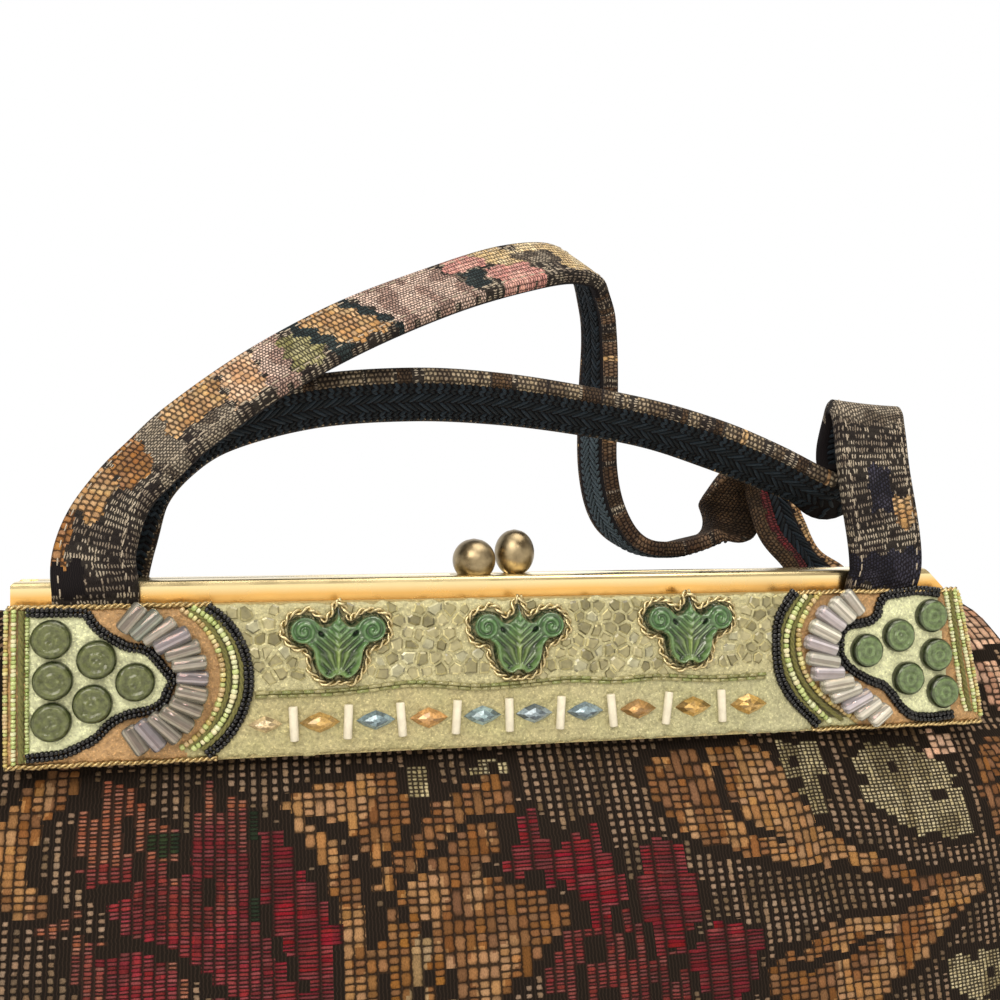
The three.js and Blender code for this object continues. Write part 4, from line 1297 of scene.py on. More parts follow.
# Place, direction across and thickness along each strap
UPPER_ROUTE: Rows = (
    (-101, -8.5, 196, -1, 0, 0, 1.7), (-101, -8.5, 204.6, -1, 0, 0, 1.7),
    (-101, -9.5, 209, -1, 0, 0, 3.4), (-101.5, -9.8, 215, -0.95, 0.3, 0.05, 4),
    (-99.5, -9, 223, -0.86, 0.48, 0.15, 4), (-95, -8, 231.5, -0.58, 0.72, 0.38, 4),
    (-88.5, -6, 238.5, -0.51, 0.74, 0.44, 4), (-80.5, -4, 246.5, -0.46, 0.75, 0.48, 4),
    (-62.5, -1, 260, -0.36, 0.75, 0.56, 4), (-40.5, 3, 273, -0.23, 0.75, 0.62, 4),
    (-16.5, 9, 284, -0.13, 0.78, 0.61, 4), (5, 16, 292, -0.03, 0.77, 0.64, 4),
    (20.5, 23, 295.5, 0.17, 0.86, 0.49, 4), (29.5, 29.5, 293.6, 0.14, 0.98, 0.14, 4),
    (34.2, 34.2, 286, 0, 1, 0, 4), (36.2, 37, 276, -0.08, 1, 0.05, 4),
    (36, 37.5, 258, -0.16, 0.98, 0.05, 4), (35.7, 37, 238, -0.14, 0.99, -0.04, 4),
    (39, 36.5, 224, -0.1, 0.99, -0.1, 4), (46.5, 36, 216, 0, 1, 0, 4), (57, 36, 214, -0.02, 1, -0.06, 4),
    (66, 36, 215.8, 0.02, 1, -0.08, 4), (72.4, 36, 218, 0.05, 1, -0.12, 4),
    (75.2, 35.4, 221.2, -0.45, 0.8, 0.3, 4), (77, 33.9, 225.5, -0.9, 0.1, 0.42, 4),
    (80.8, 29.4, 234, -0.8, -0.35, 0.42, 4), (84.5, 25, 231.8, -0.85, -0.45, 0.05, 4),
    (86.8, 20.6, 220.5, -0.76, -0.53, -0.38, 4), (91.8, 16.7, 211, -0.62, -0.7, -0.33, 4),
    (97, 12.8, 202, -0.98, 0, -0.1, 4), (99, 12.2, 188, -1, 0, 0, 4),
)
LOWER_ROUTE: Rows = (
    (-101, 12.2, 188, 1, 0, 0, 4), (-101, 12.2, 204, 1, 0, 0, 4), (-99.5, 13, 216, 0.99, 0.1, 0, 4),
    (-93.5, 14, 232, 0.66, 0.62, -0.42, 4), (-82.5, 15, 242.5, 0.36, 0.82, -0.45, 4),
    (-70, 15.5, 249, 0.24, 0.86, -0.45, 4), (-48, 16, 254.8, 0.17, 0.86, -0.48, 4),
    (-22, 16, 257, 0.15, 0.85, -0.5, 4), (1, 16, 256.2, 0.16, 0.86, -0.49, 4),
    (23, 15, 253.5, 0.14, 0.88, -0.46, 4), (44, 12.5, 249.5, 0.12, 0.89, -0.44, 4),
    (61.5, 10, 244, 0.1, 0.88, -0.46, 4), (76.5, 8, 238, 0.1, 0.9, -0.42, 4),
    (89, 7, 232.5, 0.14, 0.93, -0.35, 4), (96, 8.5, 230.5, 0.5, 0.74, -0.43, 4),
    (100, 9, 234, 0.88, 0.45, -0.15, 4), (101.5, 7.5, 243.5, 1, 0.05, 0, 4),
    (101.5, 1.5, 253, 1, 0, -0.08, 4), (99, -6.5, 250.5, 1, 0, -0.08, 4),
    (98.7, -10, 236, 1, 0, -0.05, 4), (101.6, -10.3, 218, 1, 0, 0, 4), (102.4, -9.5, 209, 1, 0, 0, 3.4),
    (101, -8.5, 204.6, 1, 0, 0, 1.7), (101, -8.5, 196, 1, 0, 0, 1.7),
)
UPPER_PATCHES = tuple(
    StrapPatch(*row)
    for row in (
        (StrapYarn.NAVY, 11, 19, 2, 9.8), (StrapYarn.ORANGE, 18, 27, 6, 11),
        (StrapYarn.TAN, 27, 38, 0, 9.8, 0.2), (StrapYarn.ORANGE, 38, 48, -5, 9, 0.3),
        (StrapYarn.SPECKLE, 47, 56, -10, 10, 0.3), (StrapYarn.TAN, 54, 70, -3, 10, 0.3),
        (StrapYarn.SPECKLE, 60, 70, -10, -4, 0.2), (StrapYarn.PEACH, 71, 81, -8, 10, 0.2),
        (StrapYarn.DOT_PINK, 81, 88, -10, 10, 0.2), (StrapYarn.OLIVE, 88, 97, -9, 6, 0.15),
        (StrapYarn.TEAL, 95, 100, -10, 10, -0.3), (StrapYarn.TAN, 99, 111, -9, 9, -0.35),
        (StrapYarn.TEAL, 111, 114, -10, 10, -0.4), (StrapYarn.DOT_PINK, 114, 139, -10, 10, -0.3),
        (StrapYarn.ROSE, 138, 153, 2, 10, 0.2), (StrapYarn.TEAL, 141, 147, -7, 1, 0.2),
        (StrapYarn.ROSE, 147, 161, -10, 0, -0.2), (StrapYarn.CREAM, 153, 163, -1, 10, -0.5),
        (StrapYarn.CREAM, 163, 184, 3, 10), (StrapYarn.SPECKLE, 160, 173, -3, 4, -0.4),
        # the brown patches from 262 on are painted shadow on the curl, outside and inside
        (StrapYarn.CREAM, 173, 184, -8, 4, 0.3), (StrapYarn.BROWN, 262, 326, -11, 11, 0.2),
        (StrapYarn.BROWN, 326, 360, -11, 11), (StrapYarn.BROWN, 296, 326, -11, 11, 0, True),
        (StrapYarn.BROWN, 310, 360, 7.4, 11, 0, True), (StrapYarn.CRIMSON, 314, 360, 4, 7.4, 0, True),
        (StrapYarn.TAN, 318, 360, -11, -5.5, 0, True),
    )
)
LOWER_PATCHES = tuple(
    StrapPatch(*row)
    for row in (
        (StrapYarn.TAN, 30, 60, -10, -4, 0.2), (StrapYarn.OLIVE, 60, 95, -10, 10, 0.3),
        (StrapYarn.DOT_PINK, 95, 140, -10, 10, 0.3), (StrapYarn.TAN, 140, 175, -10, 10, 0.3),
        (StrapYarn.CREAM, 175, 205, -10, 10, 0.3), (StrapYarn.DOT_PINK, 205, 240, -10, 10, 0.3),
        # the navy patch from 240 to 269 is partly painted shade: where the loop turns away, the outer face is
        # painted as dark as the braid
        (StrapYarn.NAVY, 240, 269, -11, 11), (StrapYarn.SPECKLE, 274, 284, -10, 10),
        (StrapYarn.INDIGO, 295, 307, -3, 3), (StrapYarn.TAN, 303, 311, 3, 9, 0.2),
        (StrapYarn.INDIGO, 318, 328, -11, 11),
    )
)


# The beaded panel

LEFT_MEDALLION: Line = (
    (-115.3, -0.9), (-103.7, -1.2), (-102, -2.6), (-99.8, -5.3), (-97, -7.3), (-93.7, -9.2), (-89.8, -10),
    (-87.6, -12), (-85.3, -14.8), (-83.7, -17.3), (-84.8, -20), (-85.9, -22.5), (-89.2, -24.2),
    (-93.7, -25), (-97.6, -27), (-100.3, -29.8), (-103, -31.4), (-108, -33.4), (-115.3, -34),
)
RIGHT_MEDALLION: Line = (
    (116, -0.6), (111, 0), (106.6, -0.3), (100.7, -1.2), (98.8, -3.1), (97.7, -6.4), (94.9, -8.1),
    (90.4, -8.7), (87.7, -10.3), (87.1, -13.1), (87.1, -16.4), (88.8, -19.2), (91.6, -21.4), (96, -23.7),
    (99.9, -25.3), (102.7, -28.1), (104.9, -30.9), (108.2, -33.4), (113.8, -34.2), (120.4, -33.7),
)
RIGHT_BLACK: Line = (
    (73.8, 0), (70.7, -3.9), (69.1, -8.1), (68.8, -12.6), (69, -17), (69.6, -20.9), (71.3, -24.8),
    (74.3, -28.7), (77.7, -32), (80.4, -34.5),
)
RIGHT_PALE: Line = (
    (76.8, -1), (73.8, -5.3), (71.8, -10.3), (71.6, -15.3), (72.7, -19.8), (74.9, -24.2), (78.2, -28.7),
    (83.8, -33.8),
)
RIGHT_GOLD: Line = (
    (81, -0.3), (77.7, -4.2), (75.4, -8.7), (75.2, -14.2), (76.3, -19.2), (78.8, -23.7), (83.2, -28.1),
    (91.6, -33.9),
)
RIGHT_CORD_OUTER: Line = (
    (75.4, -0.4), (72.3, -4.8), (70.4, -9), (70.2, -14), (71, -19), (73.2, -24.6), (76.4, -29), (82, -34),
)
RIGHT_CORD_INNER: Line = (
    (78.8, -0.6), (75.8, -4.8), (73.7, -9.5), (73.4, -14.7), (74.5, -19.5), (76.9, -24), (80.7, -28.4),
    (87.7, -33.8),
)
DIVIDER: Line = (
    (-65.6, -21.5), (-48, -21.6), (-38, -21), (-28, -20.2), (-19, -20.8), (-11, -21.6), (-3, -21.4),
    (5, -20.9), (14.5, -20.5), (24, -21.2), (36, -20.7), (49, -21.6), (58, -21.6), (67.5, -21.3),
)
ORNAMENT_PLACES = (
    ("ornament_left", -45.3, 10.2), ("ornament_middle", -0.8, 10.3), ("ornament_right", 44.2, 9.4),
)


def arc(middle: Pair, radius: float, start: float, end: float) -> Line:
    """Points on part of a circle on the panel, from one angle to another in degrees."""
    turn = np.radians(np.linspace(start, end, 14))
    return tuple((middle[0] + radius * math.cos(a), middle[1] + radius * math.sin(a)) for a in turn)


LEFT_BLACK = arc((-86.6, -17.7), 20.4, 57, -57)
LEFT_PALE = arc((-88.2, -17), 18.9, 60, -60)
LEFT_GOLD = arc((-90.7, -17), 18.5, 60, -60)


@dataclass
class PastePanel:
    """The bead paste on the panel: a rough bed, pale under the discs and peach under the fans."""

    step: float = 0.6
    bed: float = 0.4  # how thick the paste is
    outline: Line = ((-120, -0.2), (-120.3, -36.2), (129.8, -36.2), (122.3, -0.2))
    left: str = "bab084"  # the plain paste at the left
    right: str = "bbb892"  # and at the right
    mottle: str = "b4b480"
    grout: str = "bfb98f"  # between the slips of the mosaic
    gutter: str = "5a5430"  # between the arcs of beads
    peach: str = "bd9668"  # under the fans
    pale: str = "e6eac0"  # under the discs
    divide: float = -20.9  # height of the line between the mosaic and the plain paste

    def tint_at(self, flat: Array) -> Array:
        """Finds the paste's colour.

        Args:
            flat: Places on the panel.

        Returns:
            A linear colour for each place.
        """
        right_hand = ease((flat[:, :1] + 20) / 90)
        patchy = np.clip(0.5 + 0.5 * waves(flat, 7.0, 13), 0, 1)[:, None]
        tint = linear(self.left) * (1 - right_hand) + linear(self.right) * right_hand
        tint = tint * (1 - 0.35 * patchy) + 0.35 * patchy * linear(self.mottle)
        tint[flat[:, 1] > self.divide] = linear(self.grout)
        left = np.vstack([LEFT_BLACK, [(-121, -36), (-121, 1)]])
        right = np.vstack([RIGHT_BLACK, [(131, -36), (123, 1)]])
        left_bed = np.vstack([LEFT_GOLD, [(-79.5, -37), (-121, -37), (-121, 1), (-79.5, 1)]])
        right_bed = np.vstack([RIGHT_GOLD, [(93, -37), (131, -37), (131, 1), (82, 1)]])
        for edge, bed, medallion in ((left, left_bed, LEFT_MEDALLION), (right, right_bed, RIGHT_MEDALLION)):
            tint[(depth_inside(flat, np.array(edge)) > 0) & (flat[:, 1] > -33.4)] = linear(self.gutter)
            tint[depth_inside(flat, bed) > 0] = linear(self.peach)
            tint[depth_inside(flat, np.array(medallion)) > 0] = linear(self.pale)
        return tint

    def height(self, flat: Array, deep: Array) -> Array:
        """Finds how thick the paste is.

        Args:
            flat: Places on the panel.
            deep: How far inside the paste's edge they lie.

        Returns:
            The thickness at each place.
        """
        rough = 0.16 * waves(flat, 1.3, 11) + 0.12 * waves(flat, 3.5, 12)
        return 0.05 + ease(deep / 0.8) * np.clip(self.bed + rough, 0.1, 0.8)

    def build(self) -> None:
        """Lays the paste on the panel."""
        outline = np.array(self.outline, dtype=float)
        edge = evenly(np.vstack([outline, outline[:1]]), 1.1, 2)[:-1]
        edge = edge + 0.4 * np.stack([waves(edge, 2.0, 5), waves(edge, 2.0, 6)], axis=1)
        points, faces = relief(edge, self.step, self.height)
        centres = np.array([points[face].mean(axis=0) for face in faces])[:, :2]
        piece = Piece("bead_paste")
        piece.add((on_panel(points), faces), self.tint_at(centres))
        piece.build(BEAD_PASTE, "panel_paste")


@dataclass
class GlassMosaic:
    """Broken slips of pale green glass, set by eye in the paste between the two bead arcs."""

    spacing: float = 3.5
    start: Pair = (-76.0, 1.2)  # where the first slip goes
    stray: float = 0.95  # how far a slip is from its place in the rows
    largest: Pair = (2.1, 1.9)  # half the width and height that a slip may have
    grout: float = 0.22
    seed: int = 21
    shades: tuple[str, ...] = ("938c66", "a29b74", "837d59", "aca57e", "9a936b", "8a845f", "a5a284", "78724f")

    def slip(self, middle: Array, others: Array, gap: float) -> Array:
        """Finds one slip's outline: what lies nearer to its middle than to the others', less the grout.

        Args:
            middle: Its middle.
            others: The middles of the slips about it.
            gap: Half the width of the grout.

        Returns:
            Its corners about its middle.
        """
        corners = np.array([(-1, -1), (1, -1), (1, 1), (-1, 1)]) * self.largest
        for other in others - middle:
            reach = np.linalg.norm(other)
            limit = reach / 2 - gap
            beyond = corners @ other / reach - limit
            kept = []
            for k in range(len(corners)):
                a, b = beyond[k - 1], beyond[k]
                if (a > 0) != (b > 0):
                    kept.append(corners[k - 1] + (corners[k] - corners[k - 1]) * a / (a - b))
                if b <= 0:
                    kept.append(corners[k])
            corners = np.array(kept).reshape(-1, 2)
        return corners

    def build(self) -> None:
        """Sets the slips, leaving room for the carved leaves."""
        chance = np.random.default_rng(self.seed)
        bed = np.vstack([LEFT_BLACK[:8], [(-64, -20.3), (67, -20.3)], RIGHT_BLACK[4::-1]])
        rows, columns = np.meshgrid(np.arange(8), np.arange(45))
        across = self.start[0] + self.spacing * (columns + 0.5 * (rows % 2))
        up = self.start[1] - 0.87 * self.spacing * rows
        stray = chance.uniform(-self.stray, self.stray, (rows.size, 2))
        spots = np.stack([across, up], axis=-1).reshape(-1, 2) + stray
        room = depth_inside(spots, bed) - 1.0
        for _, x, drop in ORNAMENT_PLACES:
            room = np.minimum(room, -depth_inside(spots - [x, -drop], CarvedLeaf.outline()) - 1.7)
        piece = Piece("glass_mosaic")
        for number in np.flatnonzero(room > 0):
            middle = spots[number]
            away = np.linalg.norm(spots - middle, axis=1)
            near = np.flatnonzero((away < 6.5) & (away > 0))
            outline = self.slip(middle, spots[near], self.grout + chance.uniform(0, 0.25))
            sides = len(outline)
            rise = chance.uniform(0.8, 1.15)
            tip = chance.uniform(-0.09, 0.09, 2)
            rings = []
            for scale, level in ((1.0, 0.1), (1.0, rise - 0.3), (0.74, rise)):
                flat = scale * outline
                rings.append(np.column_stack([middle + flat, level + flat @ tip]))
            faces = grid_faces(3, sides, wrap_columns=True).tolist()
            faces += [list(range(sides))[::-1], list(range(2 * sides, 3 * sides))]
            shade = linear(self.shades[int(chance.integers(len(self.shades)))])
            # painted glints and painted shade: each facet of a slip gets its own brightness, and the top
            # stays plain
            glints = chance.choice([0.55, 0.8, 1.0, 1.5, 2.0], (len(faces), 1))
            glints[-1] = 1.0
            piece.add((on_panel(np.vstack(rings)), faces), shade * glints)
        piece.build(MOSAIC_GLASS, "panel_paste", smooth=False)


@dataclass
class BeadRow:
    """Seed beads strung along a line on the panel."""

    name: str
    line: Line
    tints: tuple[str, ...]
    size: float = 1.55
    offsets: tuple[float, ...] = (0.0,)
    lift: float = 0.95

    def build(self, piece: Piece, chance: np.random.Generator) -> None:
        """Adds the row to a piece.

        Args:
            piece: What the beads are part of.
            chance: Gives each bead its own small turn and tint.
        """
        radius = self.size / 2
        half = ((0.3, 0.45), (0.62, 0.72), (0.92, 0.5))
        shape = [(wide, -high) for wide, high in half] + [(1, 0), *half[::-1]]
        bead = turned([(wide * radius, high * radius) for wide, high in shape], 9, ring=True)
        rows = np.array(self.line, dtype=float)
        for offset in self.offsets:
            line = spline(rows, 400)
            along = unit(np.gradient(line, axis=0))
            line = line + offset * np.stack([-along[:, 1], along[:, 0]], axis=1)
            spots = evenly(line, 0.76 * self.size, 2)
            ways = unit(np.gradient(spots, axis=0))
            for spot, way in zip(spots, ways):
                turn = math.atan2(way[1], way[0]) + math.pi / 2 + chance.normal(0, 0.16)
                lift = self.lift + chance.normal(0, 0.08)
                size = chance.uniform(0.86, 1.12)
                points = laid(bead[0] * size, (spot[0], spot[1], lift), turn, math.pi / 2)
                piece.add((on_panel(points), bead[1]), self.tints[int(chance.integers(len(self.tints)))])


BLACK_BEADS = ("0b0b0e", "121318", "08080b")
GOLD_BEADS = ("c2b06a", "d6cc92", "a8905e", "c4ab7e", "b8c07c")
PALE_BEADS = ("d4d8ae", "c0cc8a", "dfd8b0", "acbb74")
GREEN_BEADS = ("8fa05a", "a9b577", "bcc78c")
OLIVE_BUGLES = ("918c60", "7d7c4c", "a09a6e", "848a52")
BEAD_ROWS = (
    BeadRow("medallion_left", LEFT_MEDALLION, BLACK_BEADS, 1.35, (-0.6, 0.55)),
    BeadRow("arc_left_black", LEFT_BLACK, BLACK_BEADS, 1.4, (-0.65, 0.6)),
    BeadRow("arc_left_pale", LEFT_PALE, PALE_BEADS, 1.55),
    BeadRow("arc_left_gold", LEFT_GOLD, GOLD_BEADS, 1.55),
    BeadRow("medallion_right", RIGHT_MEDALLION, BLACK_BEADS, 1.6, (-0.6, 0.6)),
    BeadRow("arc_right_black", RIGHT_BLACK, BLACK_BEADS, 1.55, (-0.65, 0.65)),
    BeadRow("arc_right_pale", RIGHT_PALE, PALE_BEADS, 1.7),
    BeadRow("arc_right_gold", RIGHT_GOLD, GOLD_BEADS, 1.65),
    BeadRow("end_left_gold", ((-120, -0.8), (-120.2, -18), (-120.2, -35.4)), GOLD_BEADS, 1.15, lift=0.6),
    BeadRow("end_left_pale", ((-118.3, -0.6), (-118.4, -18), (-118.4, -35)), PALE_BEADS, 1.25),
    BeadRow("end_left_tan", ((-115.4, -0.8), (-115.5, -18), (-115.5, -34.6)), GREEN_BEADS, 1.1, lift=0.8),
    BeadRow(
        "end_right_inner", ((118.3, 0), (119.6, -6.9), (123, -26.9), (124.6, -32.6)), PALE_BEADS, 1.3,
    ),
    BeadRow(
        "end_right_outer", ((121.1, 0), (122.4, -6.9), (126.6, -26.9), (127.6, -33)), PALE_BEADS, 1.25,
    ),
    BeadRow(
        "end_right_edge", ((122.2, -0.4), (123.9, -6.9), (128.2, -26.9), (129.3, -34)), GOLD_BEADS, 1.2,
        lift=0.7,
    ),
)


@dataclass
class BeadWork:
    """All the strung beads, cords and threads on the panel."""

    seed: int = 5

    def beads(self) -> None:
        """Strings every row of seed beads."""
        for number, row in enumerate(BEAD_ROWS):
            piece = Piece("beads_" + row.name)
            row.build(piece, np.random.default_rng(self.seed + number))
            piece.build(JET_GLASS if row.tints is BLACK_BEADS else SEED_GLASS, "panel_paste")

    def cords(self) -> None:
        """Lays the olive silk cords between the arcs and at the ends."""
        lines = (
            (arc((-87.3, -17.2), 19.55, 58, -58), 0.62), (arc((-89.5, -17), 18.6, 60, -60), 0.6),
            (((-116.7, -0.5), (-116.8, -18), (-116.8, -35)), 0.65),
            (((119.7, 0), (120.9, -6.9), (124.7, -26.9), (126, -33)), 0.65),
            (RIGHT_CORD_OUTER, 0.62), (RIGHT_CORD_INNER, 0.62),
        )
        piece = Piece("silk_cords")
        for rows, radius in lines:
            flat = spline(np.array(rows, dtype=float), 160)
            line = np.column_stack([flat, np.full(len(flat), 0.8)])
            for strand in twisted(line, 0.62 * radius, 5.5, 3, 6):
                piece.add((on_panel(strand[0]), strand[1]), "6f6c34")
        piece.build(CORD_THREAD, "panel_paste")

    def gold_cord(self) -> None:
        """Lays the twisted gold cord along the panel's top and foot, at both ends."""
        piece = Piece("gold_edge_cord")
        runs = (
            ((-119.6, 0.1), (-74.8, 0.1)), ((74, 0.1), (121.8, 0.1)),
            ((-120.2, -36), (-73.5, -36.1)), ((79, -36), (129.4, -36)),
        )
        for start, end in runs:
            flat = np.linspace(start, end, 60)
            sway = 0.12 * np.sin(flat[:, 0] * 0.9)
            line = np.column_stack([flat[:, 0], flat[:, 1] + sway, np.full(60, 0.75)])
            for strand in twisted(line, 0.4, 2.9, 2, 6):
                piece.add((on_panel(strand[0]), strand[1]), "bda678")
        piece.build(GOLD_THREAD, "panel_paste")

    def divider(self) -> None:
        """Lays the wavy double line of green bugles between the mosaic and the plain paste."""
        chance = np.random.default_rng(self.seed)
        piece = Piece("green_bugle_line")
        for offset in (-0.45, 0.45):
            line = spline(np.array(DIVIDER), 400) + [0, offset]
            run = run_lengths(line)
            start = chance.uniform(0, 1)
            while start < run[-1] - 3:
                length = chance.uniform(1.9, 3.0)
                marks = (start, start + length)
                ends = np.array([[np.interp(at, run, column) for column in line.T] for at in marks])
                half = length / 2
                rod = turned([(0.15, -half), (0.44, -half), (0.44, half), (0.15, half)], 8)
                turn = math.atan2(*(ends[1] - ends[0])[::-1]) + math.pi / 2
                points = laid(rod[0], (*ends.mean(axis=0), 0.9), turn, math.pi / 2)
                piece.add((on_panel(points), rod[1]), OLIVE_BUGLES[int(chance.integers(len(OLIVE_BUGLES)))])
                start += length + 0.2
        piece.build(SEED_GLASS, "panel_paste")

    def build(self) -> None:
        """Makes the beads, the cords and the divider."""
        self.beads()
        self.cords()
        self.gold_cord()
        self.divider()


@dataclass
class BugleFan:
    """Clear glass bugles laid side by side like rays, from a line round a medallion to a line outside it."""

    node: str
    inner: Line
    outer: Line
    count: int
    radius: float
    depth: float  # how pale the glass is
    seed: int  # gives each bugle its own tint and thickness
    shades: tuple[str, ...] = ("c8c6bd", "bab8b0", "d0cec4", "bcc6bd", "c0bcc6", "bdb9ad", "c6c3b8", "d2d0c6")

    def build(self) -> None:
        """Lays the bugles."""
        chance = np.random.default_rng(self.seed)
        piece = Piece(self.node + "_rays")
        ends = [spline(np.array(line, dtype=float), 200) for line in (self.inner, self.outer)]
        length = [run_lengths(line)[-1] / (self.count - 0.999) for line in ends]
        near, far = (evenly(line, step, 2) for line, step in zip(ends, length))
        far += 0.1 * (far - near)
        for number, (x, y, far_x, far_y) in enumerate(np.hstack([near, far])):
            half = math.hypot(far_x - x, far_y - y) / 2
            r = self.radius * chance.uniform(0.94, 1.06)
            ends_in = ((0.25, 0.0), (0.66, 0.1), (0.92, 0.4), (1.0, 0.9))
            profile = [(share * r, back - half) for share, back in ends_in]
            rod = turned(profile + [(wide, -high) for wide, high in profile[::-1]], 22)
            spot = ((x + far_x) / 2, (y + far_y) / 2, SEATED + r + 0.5 * (number % 2))
            points = laid(rod[0], spot, math.atan2(far_y - y, far_x - x) + math.pi / 2, math.pi / 2)
            side = np.array([rod[0][face][:, 0].mean() for face in rod[1]]) / r
            # painted highlight streaks along each bugle, with painted shade at its sides
            painted_streak = 0.4 + 0.75 * np.exp(-(((side - chance.uniform(-0.5, -0.1)) / 0.2) ** 2))
            painted_streak += 0.5 * np.exp(-(((side - chance.uniform(0.25, 0.65)) / 0.14) ** 2))
            shade = linear(self.shades[int(chance.integers(len(self.shades)))])
            piece.add((on_panel(points), rod[1]), shade * painted_streak[:, None] * self.depth)
        piece.build(CLEAR_GLASS, "clear_glass", self.node)


LEFT_FAN = (
    (
        (-95, -5.5), (-90, -8.3), (-86, -10.8), (-83.7, -14), (-82.7, -17.2), (-83.4, -20.5),
        (-85.5, -23.2), (-89, -25.2), (-93.8, -27.5),
    ),
    (
        (-90.6, -0.2), (-84.5, -3.2), (-79.6, -7.1), (-76.8, -12), (-76, -17), (-76.5, -22), (-79, -27.2),
        (-83.6, -31.2), (-90.2, -33.2),
    ),
)
RIGHT_FAN = (
    (
        (92.3, -5.7), (88, -8.3), (85.4, -12.2), (85.3, -16.8), (87.1, -21.3), (91.8, -24.8),
        (96.6, -27.9), (100.1, -30.5),
    ),
    (
        (88, -0.4), (81.6, -4), (78.1, -9), (77.1, -14.5), (78.5, -20), (82, -25), (88, -30.4),
        (95.4, -34.2),
    ),
)


@dataclass
class PressedDisc:
    """A pressed glass disc, domed, with a ring in its top."""

    node: str
    x: float
    drop: float
    pale: str
    painted_ring_contrast: float  # how strongly its rings of painted shade and painted highlight differ
    radius: float = 4.5
    height: float = 2.9
    # Shares of the radius and the height, from the foot over the dome and its ring to the middle
    shape: Line = (
        (0.96, 0), (1, 0.15), (1, 0.52), (0.97, 0.68), (0.9, 0.84), (0.8, 0.96), (0.7, 1), (0.62, 0.97),
        (0.52, 0.87), (0.42, 0.87), (0.34, 0.96), (0.26, 0.98), (0.18, 0.9), (0.08, 0.92), (0.02, 0.94),
    )
    # How pale it is at shares of the radius: painted shade in the dimple, the groove and down the side, and
    # painted highlight on the ridge
    rings: Line = (
        (0, 0.7), (0.15, 0.75), (0.32, 1.25), (0.47, 0.8), (0.62, 0.95), (0.8, 1.05), (0.92, 0.6), (1, 0),
    )

    def build(self) -> None:
        """Presses the disc."""
        r, h = self.radius, self.height
        points, faces = turned([(wide * r, high * h) for wide, high in self.shape], 36)
        points[:, 2] += 0.13 * waves(points + [self.x, self.drop, 0], 0.9, 4) * (points[:, 2] > 0.6 * h)
        reach = np.array([np.linalg.norm(points[face][:, :2], axis=1).max() for face in faces]) / r
        share = np.interp(reach, *np.array(self.rings).T)[:, None]
        share = np.maximum(0.95 + (share - 0.95) * self.painted_ring_contrast, 0)
        # the deep tint is painted shade; the pale tint is the glass's own green
        tint = linear("252d17") * (1 - share) + linear(self.pale) * share
        piece = Piece(self.node + "_pressed")
        piece.add((on_panel(laid(points, (self.x, -self.drop, SEATED))), faces), tint)
        piece.build(DISC_GLASS, "disc_glass", self.node)


